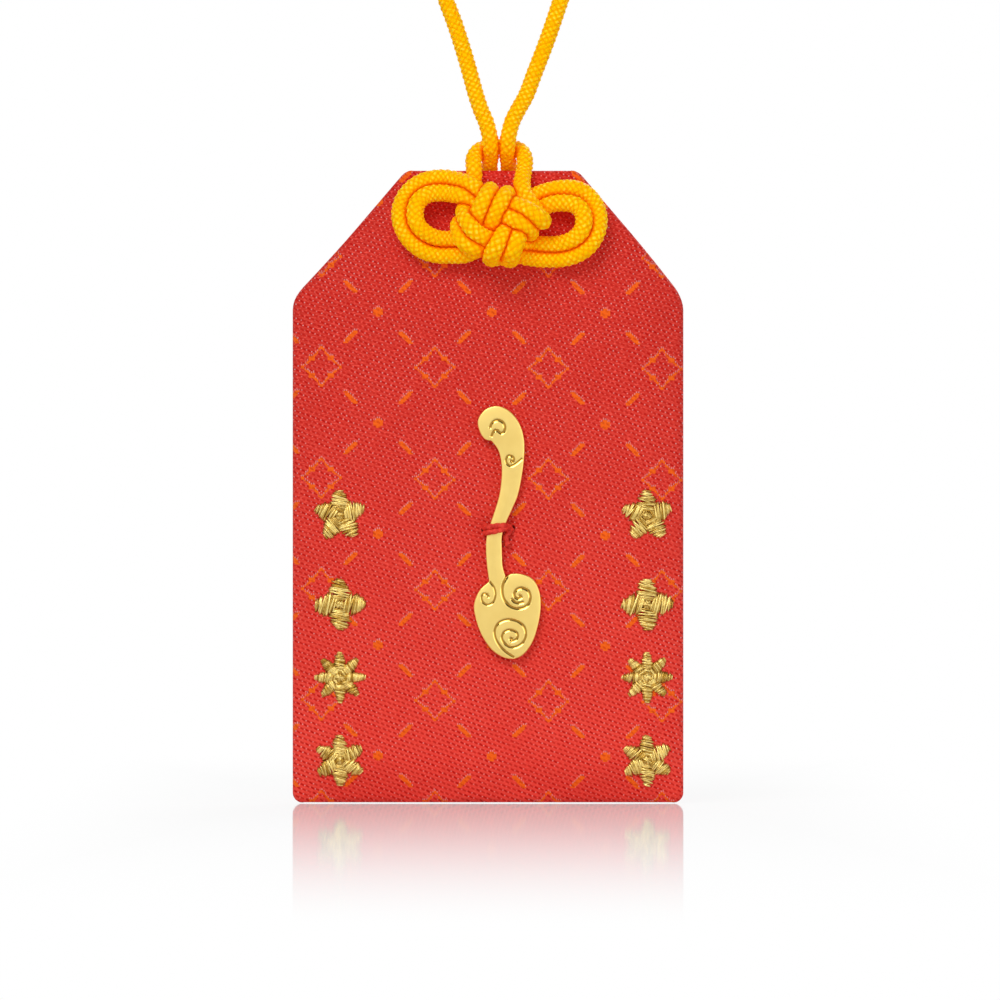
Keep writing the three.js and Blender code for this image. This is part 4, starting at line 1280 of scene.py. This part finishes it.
# %% [markdown]
# ## Seam
# The panels are sewn together just inside their edge, down one side, along the bottom and up the other.
# The thread is mostly out of sight. It goes in and out between the panels like any running stitch.

# %% The seam's running stitch
SEAM_INSET = 1.2 * MM
SEAM_GABLE = 1.5  # the inset on the gable over the inset below it
SEAM_TOP_DROP = 7 * MM
SEAM_THREAD = 0.5 * MM
SEAM_STEP = 0.3 * MM
SEAM_WEAVE = 0.12 * MM  # to each side of the middle plane
SEAM_SHARPNESS = 3  # how briskly it changes sides
STITCH_LENGTH = 2.6 * MM
SEAM_ROWS = 40
SEAM_BEND = 6.2 * MM  # the seam turns to the bottom from this height on
SEAM_BEND_HEIGHTS = [3.4 * MM, 1.9 * MM]
SEAM_BEND_EASE = 11 * MM
SEAM_BOTTOM = (-18, -12, -6, 0, 6, 12, 18)  # mm


def seam_path():
    straight = np.linspace(HEIGHT - SEAM_TOP_DROP, SEAM_BEND, SEAM_ROWS)
    heights = np.concatenate([straight, SEAM_BEND_HEIGHTS])
    inset = np.where(heights > HEIGHT - GABLE_DROP, SEAM_GABLE, 1.0) * SEAM_INSET
    side = half_width(heights) - inset - np.clip(SEAM_BEND - heights, 0, None) ** 2 / SEAM_BEND_EASE
    left, right = (
        np.stack([middle(heights) + way * side, np.zeros_like(side), heights], axis=1) for way in (-1, 1)
    )
    bottom = [(x * MM, 0, SEAM_INSET) for x in SEAM_BOTTOM]
    path = smooth_path(np.vstack([left, bottom, right[::-1]]), SEAM_STEP)
    along = np.linspace(0, length_of(path), len(path))
    weave = np.tanh(SEAM_SHARPNESS * np.sin(2 * math.pi * along / STITCH_LENGTH))
    path[:, 1] = MID_PLANE + SEAM_WEAVE * weave
    path[:, 2] += POUCH_BASE
    return path


seam = twisted_thread([seam_path()], "seam_stitch", SEAM_THREAD)
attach(seam, "pouch")
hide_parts("seam_thread")
print("seam of", round(length_of(seam_path()) / MM), "mm of thread")

# %% The red thread's material
red_thread = fibre_finish(
    "red_thread",
    {"Roughness": 0.6, "Specular IOR Level": 0.3},
    {"Grain": 0.08, "Drift": 0.5},
    colour(210, 38, 29), colour(244, 70, 54),
    strength=0.4, depth=0.04 * MM, tones=(0.3, 0.7),
)
for piece in (tie, seam):
    piece.data.materials.append(red_thread)
print("red thread on", tie.name, "and", seam.name)

# %% [markdown]
# ## Embroidery
# Eight rosettes in gold thread, in two columns. Satin stitch lays threads side by side across each petal,
# and every thread rises out of the cloth and dives back in. Each stitch is a short arched tube of its own,
# with a little seeded unevenness in its length and lean, because hand-guided machines are never exact.

# %% Rosettes of satin stitch
ROSETTE_COLUMNS = {"left": -18.7 * MM, "right": 20.1 * MM}
ROSETTE_HEIGHTS = [36.3 * MM, 25.1 * MM, 15.9 * MM, 5.4 * MM]
ROSETTE_PETALS = [5, 4, 8, 6]
ROSETTE_RADIUS = 3.3 * MM
STITCH_THREAD = 0.26 * MM
STITCH_SPACING = 0.19 * MM
STITCH_RISE = 0.42 * MM
STITCH_SIDES = 7
STITCH_STEPS = 9
STITCH_DIVE = 0.1 * MM  # its ends go this deep into the cloth
STITCH_ARCH = 0.6  # power of a sine's arch: below 1 it is steep at its ends and flat on top
STITCH_LEAN = 0.22  # outward, over the way across
LEAN_SPREAD = 0.1
PLACE_SPREAD = 0.008  # of the rosette's radius
LENGTH_RANGE = (0.86, 1.12)
RISE_RANGE = (0.75, 1.1)
THREAD_RANGE = (0.85, 1.1)
PETAL_START = 0.2  # of the rosette's radius, and so are the next one and PETAL_MOST
PETAL_WIDEST = 0.62
PETAL_FILL = 0.86  # share of its sector that a petal takes there
PETAL_MOST = 0.42  # half its width at most
PETAL_BEGIN = 0.1  # the width follows a sine's arch, from this share of it in the rosette's middle
PETAL_REACH = 0.86  # and this much further on at the rim
PETAL_POWER = 0.75  # of the sine
SHORTEST_HALF = 0.2 * MM
FULL_RISE_HALF = 0.6 * MM  # shorter stitches rise less
HEART_STITCHES = 7
HEART_HALF = 0.75 * MM
HEART_RISE = 0.62 * MM
HEART_LENGTH_RANGE = (0.85, 1.1)
HEART_RISE_RANGE = (0.85, 1.05)
FIRST_SEED = 20


def stitch_rings(start, end, rise_height, thickness):
    """An arched thread from one point of the cloth to another, both as sideways and height."""
    share = np.linspace(0, 1, STITCH_STEPS)[:, None]
    flat = start + (end - start) * share
    lift = rise_height * np.sin(math.pi * share[:, 0]) ** STITCH_ARCH - STITCH_DIVE
    cloth = MID_PLANE - panel_half(flat[:, 0], flat[:, 1], FRONT_SEED)
    path = np.stack([flat[:, 0], cloth - lift, POUCH_BASE + flat[:, 1]], axis=1)
    radii = np.full((STITCH_STEPS, STITCH_SIDES), thickness / 2)
    return rings_along(path, radii, full_turn(STITCH_SIDES)[None])


def petal_stitches(centre, petals, turn, rng):
    """Stitches across one petal, from the middle of the rosette out to its tip."""
    outward = np.array([math.cos(turn), math.sin(turn)])
    sideways = np.array([-outward[1], outward[0]])
    widest = ROSETTE_RADIUS * min(PETAL_WIDEST * math.tan(PETAL_FILL * math.pi / petals), PETAL_MOST)
    for reach in np.arange(PETAL_START, 1, STITCH_SPACING / ROSETTE_RADIUS):
        half = widest * math.sin(math.pi * min(reach * PETAL_REACH + PETAL_BEGIN, 1)) ** PETAL_POWER
        half *= rng.uniform(*LENGTH_RANGE)
        if half > SHORTEST_HALF:
            place = centre + outward * ROSETTE_RADIUS * (reach + rng.normal(0, PLACE_SPREAD))
            across = (sideways + outward * rng.normal(STITCH_LEAN, LEAN_SPREAD)) * half
            rise_height = STITCH_RISE * rng.uniform(*RISE_RANGE) * min(1, half / FULL_RISE_HALF)
            thickness = STITCH_THREAD * rng.uniform(*THREAD_RANGE)
            yield stitch_rings(place - across, place + across, rise_height, thickness)


def heart_stitches(centre, rng):
    """A small knot of crossed stitches in the middle."""
    for turn in np.linspace(0, math.pi, HEART_STITCHES, endpoint=False):
        half = HEART_HALF * np.array([math.cos(turn), math.sin(turn)]) * rng.uniform(*HEART_LENGTH_RANGE)
        rise_height = HEART_RISE * rng.uniform(*HEART_RISE_RANGE)
        yield stitch_rings(centre - half, centre + half, rise_height, STITCH_THREAD)


def rosette(name, centre, petals, seed):
    rng = np.random.default_rng(seed)
    tubes = []
    for k in range(petals):
        tubes += petal_stitches(centre, petals, math.pi / 2 + 2 * math.pi * k / petals, rng)
    tubes += heart_stitches(centre, rng)
    size = STITCH_STEPS * STITCH_SIDES
    faces = [face for k in range(len(tubes)) for face in tube_faces(STITCH_STEPS, STITCH_SIDES, k * size)]
    tone = np.repeat(rng.uniform(0, 1, len(tubes)), size)
    return new_piece(name, np.vstack([tube.reshape(-1, 3) for tube in tubes]), faces, {"tone": tone})


rosettes = []
for column, x in ROSETTE_COLUMNS.items():
    for k, (height, petals) in enumerate(zip(ROSETTE_HEIGHTS, ROSETTE_PETALS)):
        centre = np.array([x, height])
        piece = rosette(f"rosette_{column}_{k + 1}", centre, petals, seed=FIRST_SEED + len(rosettes))
        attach(piece, "pouch")
        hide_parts(f"embroidery_{column}_{k + 1}")
        rosettes.append(piece)
print(len(rosettes), "rosettes,", sum(len(piece.data.polygons) for piece in rosettes), "faces")


# %% The gold thread's material
def gold_thread_finish():
    material, tree, shader = new_material("gold_thread", {"Metallic": 0.9, "Roughness": 0.28})
    fuzz = place_group(tree, thread_fuzz, {"Grain": 0.07, "Drift": 0.45})
    share = ramp(kept_number(tree, "tone") * 0.45 + fuzz["Tone"] * 0.55, 0.25, 0.75)
    connect(mix(share, colour(176, 134, 48), colour(248, 222, 136)), shader.inputs["Base Color"])
    add_bump(shader, fuzz["Relief"], 0.6, 0.05 * MM)
    return material


gold_thread = gold_thread_finish()
for piece in rosettes:
    piece.data.materials.append(gold_thread)
print("gold thread on", len(rosettes), "rosettes")

# %% [markdown]
# ## Inside the pouch
# Nothing of this shows, but the pouch would be an empty bag without it: a felt sheet behind each panel, and
# a card wrapped in paper. The felt is a little uneven, and the paper's end overlaps its start. The card
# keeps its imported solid, which is already the right shape.

# %% Felt sheets
FELT_INSET = 6.4 * MM
FELT_TOP_DROP = 16 * MM
FELT_CORNER = 2 * MM
FELT = 0.3 * MM
FELT_INNER = 0.95 * MM
FELT_ROWS = 61
FELT_COLUMNS = 41
FELT_RIPPLE = 0.04 * MM
FELT_RIPPLE_SPACING = 9 * MM
FELT_SEED = 40


def felt_sheet(name, side):
    low, high = FELT_INSET, HEIGHT - FELT_TOP_DROP
    rows = low + (high - low) * close_at_ends(FELT_ROWS)
    across = np.sin(np.linspace(-math.pi / 2, math.pi / 2, FELT_COLUMNS))
    height = np.repeat(rows[:, None], FELT_COLUMNS, axis=1)
    corners = [corner_pull(far, FELT_CORNER) for far in (height - low, high - height)]
    x = across * (HALF_WIDTH - FELT_INSET - corners[0] - corners[1])
    ripple = FELT_RIPPLE * waves(x, height, FELT_RIPPLE_SPACING, FELT_SEED + side)
    return side_sheet(name, side, x, height, (FELT_INNER + FELT + ripple, FELT_INNER + ripple))


front_felt = felt_sheet("front_felt", -1)
back_felt = felt_sheet("back_felt", 1)
print("felt sheets of", len(front_felt.data.polygons), "faces")

# %% Paper wrapped round the card
card_low, card_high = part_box("talisman_card")
PAPER = 0.12 * MM
PAPER_OVERLAP = 6 * MM  # to each side of the middle
PAPER_ROWS = 31
PAPER_STEP = 0.35 * MM
WRAP_GAP = 0.22 * MM  # from the card to the paper's middle
FLAP_GAP = 0.02 * MM
FOLD = 0.4 * MM
FOLD_EASE = 3 * MM


def wrap_path():
    """Section of the wrap, from under the flap round the card and over its own start."""
    near = (card_high.y - card_low.y) / 2 + WRAP_GAP
    far = near + PAPER + FLAP_GAP
    side = card_high.x + WRAP_GAP
    route = [
        (PAPER_OVERLAP, -near), (0, -near), (-side + FOLD_EASE, -near), (-side + FOLD, -near), (-side, 0),
        (-side + FOLD, near), (0, near), (side - FOLD, near), (side, 0), (side - FOLD, -near),
        (side - FOLD_EASE, -near), (PAPER_OVERLAP + FOLD_EASE, -near), (PAPER_OVERLAP - 1 * MM, -far),
        (-PAPER_OVERLAP, -far),
    ]
    return smooth_path([(x, MID_PLANE + y, 0) for x, y in route], PAPER_STEP)


def paper_wrap():
    path = wrap_path()
    ahead = np.gradient(path, axis=0)
    normal = np.stack([-ahead[:, 1], ahead[:, 0]], axis=1)
    normal /= np.linalg.norm(normal, axis=1)[:, None]
    heights = np.linspace(card_low.z, card_high.z, PAPER_ROWS)
    layers = []
    for shift in (-PAPER / 2, PAPER / 2):
        edge = path.copy()
        edge[:, :2] += normal * shift
        grid = np.repeat(edge[None], len(heights), axis=0)
        grid[..., 2] = heights[:, None]
        layers.append(grid)
    return closed_sheet("paper_wrap", *layers)


paper = paper_wrap()
print("paper wrap, cut", round(length_of(wrap_path()) / MM), "mm wide")


# %% Felt, paper and card
def board_finish(name, dark, light, grain):
    plain = {"Roughness": 0.85, "Specular IOR Level": 0.25}
    return fibre_finish(name, plain, {"Grain": grain, "Drift": 3.5}, dark, light, 0.3, 0.03 * MM)


white_felt = fibre_finish(
    "white_felt",
    {"Roughness": 0.95, "Specular IOR Level": 0.2},
    {"Grain": 0.2, "Drift": 1.2},
    colour(222, 216, 202), colour(246, 242, 232),
    strength=0.7, depth=0.1 * MM,
)
for piece, node in ((front_felt, "front_lining"), (back_felt, "back_lining")):
    piece.data.materials.append(white_felt)
    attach(piece, "pouch")
    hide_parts(node)
paper.data.materials.append(board_finish("washi_paper", colour(230, 224, 208), colour(250, 247, 238), 0.5))
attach(paper, "talisman")
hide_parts("talisman_paper")
card = bpy.data.objects["talisman_card"]
card.data.materials.clear()
card.data.materials.append(board_finish("grey_board", colour(182, 154, 110), colour(206, 180, 136), 0.25))
print("inside finished:", front_felt.name, back_felt.name, paper.name, card.name)

# %% [markdown]
# ## Sheets
# Sizes the cloth and paper were cut to are worked out: the panel's area and the paper's flat size.

# %% Sizes of the cut sheets
AREA_ROWS = 400
panel_area = HEIGHT * float(np.mean(2 * half_width(np.linspace(0, HEIGHT, AREA_ROWS))))
paper_flat = (length_of(wrap_path()), card_high.z - card_low.z)
print("panel", round(panel_area / MM**2), "mm2 of cloth")

# %% [markdown]
# ## Floor and light
# The charm was shot on a white sweep with a faint mirror image under it. The floor here is a pale sheet
# with a thin gloss, which mirrors most at a flat angle. Away from the charm it turns into plain white. Three
# big soft lamps and a pale world light the charm, and for the camera the world is white.


# %% The floor
WHITE_BEHIND = (0.06, 0.3)  # metres from the charm: the floor begins to turn white, and is white
WHITE_BEFORE = (0.02, -0.44)
WHITE_BESIDE = (0.026, 0.06)
WHITE_LEAST = 0.3  # share of white near the charm
MIRROR_ANGLES = (0.55, 0.95)  # the gloss grows over these, where 1 is the flattest angle
MIRROR_GAIN = 0.75
MIRROR_LEAST = 0.1


def floor_finish():
    material = bpy.data.materials.new("pale_floor")
    material.use_nodes = True
    tree = material.node_tree
    tree.nodes.clear()
    path = numbers(add(tree, "ShaderNodeLightPath"))
    seen = greatest(*(path[f"Is {kind} Ray"] for kind in ("Camera", "Glossy", "Transmission")))
    place = add(tree, "ShaderNodeTexCoord").outputs["Object"]
    way = numbers(add(tree, "ShaderNodeSeparateXYZ", {0: place}))
    lengthwise = greatest(ramp(way["Y"], *WHITE_BEHIND), ramp(way["Y"], *WHITE_BEFORE))
    far = greatest(lengthwise, ramp(abs(way["X"]), *WHITE_BESIDE))
    matt = add(tree, "ShaderNodeBsdfDiffuse", {"Color": (0.8, 0.8, 0.8, 1)}).outputs[0]
    gloss = add(tree, "ShaderNodeBsdfGlossy", {"Color": (1, 1, 1, 1), "Roughness": 0.05}).outputs[0]
    flatness = numbers(add(tree, "ShaderNodeLayerWeight", {"Blend": 0.5}))["Facing"]
    mirror = ramp(flatness, *MIRROR_ANGLES) * MIRROR_GAIN + MIRROR_LEAST
    real = add(tree, "ShaderNodeMixShader", {0: mirror, 1: matt, 2: gloss}).outputs[0]
    white = add(tree, "ShaderNodeEmission", {"Color": (1, 1, 1, 1), "Strength": 1.0}).outputs[0]
    share = seen * (far * (1 - WHITE_LEAST) + WHITE_LEAST)
    mixed = add(tree, "ShaderNodeMixShader", {0: share, 1: real, 2: white}).outputs[0]
    connect(mixed, add(tree, "ShaderNodeOutputMaterial").inputs[0])
    return material


FLOOR_DROP = 0.06 * MM
FLOOR_HALF = 6.0
floor_height = POUCH_BASE - FLOOR_DROP
corners = [(x * FLOOR_HALF, y * FLOOR_HALF, 0) for x, y in ((-1, -1), (1, -1), (1, 1), (-1, 1))]
floor = new_piece("floor", corners, [[0, 1, 2, 3]])
floor.location.z = floor_height
floor.data.materials.append(floor_finish())
print("floor at", round(floor_height / MM, 2), "mm")

# %% The lamps
AIM = Vector((0, 0, (POUCH_BASE + POUCH_TOP) / 2))


def soft_lamp(name, place, size, power):
    lamp = bpy.data.objects.new(name, bpy.data.lights.new(name, "AREA"))
    lamp.data.shape = "DISK"
    lamp.data.size = size
    lamp.data.energy = power
    lamp.location = place
    lamp.rotation_euler = (AIM - lamp.location).to_track_quat("-Z", "Y").to_euler()
    scene.collection.objects.link(lamp)


soft_lamp("key_lamp", place=(-0.24, -0.64, 0.5), size=0.5, power=3.75)
soft_lamp("fill_lamp", place=(0.6, -0.55, 0), size=0.7, power=1.45)
soft_lamp("back_lamp", place=(0.2, 0.6, 0.4), size=0.5, power=2.4)
print("three lamps")

# %% [markdown]
# The world is white to the camera, and as a light it is pale. Metal and gloss mirror a third version of it:
# a dark room with a lit front and back, a lit band all round at eye level and a faint ceiling.

# %% The world
WORLD_LIGHT = 0.3
CEILING_LIGHT = 0.3
DARK_LIGHT = 0.05
LIT_ENDS = (0.62, 0.92)  # how far forwards or back a direction points, from dark to lit
BAND_BOTTOM = (-0.15, 0.05)  # how far up it points, from dark to lit, as in the next two
BAND_TOP = (0.5, 0.35)
CEILING = (0.55, 0.8)


def studio_world():
    world = bpy.data.worlds.new("studio")
    world.use_nodes = True
    tree = world.node_tree
    tree.nodes.clear()
    sight = numbers(add(tree, "ShaderNodeLightPath"))
    towards = add(tree, "ShaderNodeTexCoord").outputs["Generated"]
    way = numbers(add(tree, "ShaderNodeSeparateXYZ", {0: towards}))
    ends = ramp(abs(way["Y"]), *LIT_ENDS)
    band = ramp(way["Z"], *BAND_BOTTOM) * ramp(way["Z"], *BAND_TOP)
    ceiling = ramp(way["Z"], *CEILING) * CEILING_LIGHT
    mirrored = greatest(ends, band, ceiling) * (1 - DARK_LIGHT) + DARK_LIGHT
    chosen = add(tree, "ShaderNodeMix", {0: sight["Is Glossy Ray"], 2: WORLD_LIGHT, 3: mirrored})
    strength = greatest(sight["Is Camera Ray"], sight["Is Transmission Ray"], Number(chosen.outputs[0]))
    sky = add(tree, "ShaderNodeBackground", {"Color": (1, 1, 1, 1), "Strength": strength})
    connect(sky.outputs[0], add(tree, "ShaderNodeOutputWorld").inputs[0])
    return world


scene.world = studio_world()
print("world", scene.world.name)
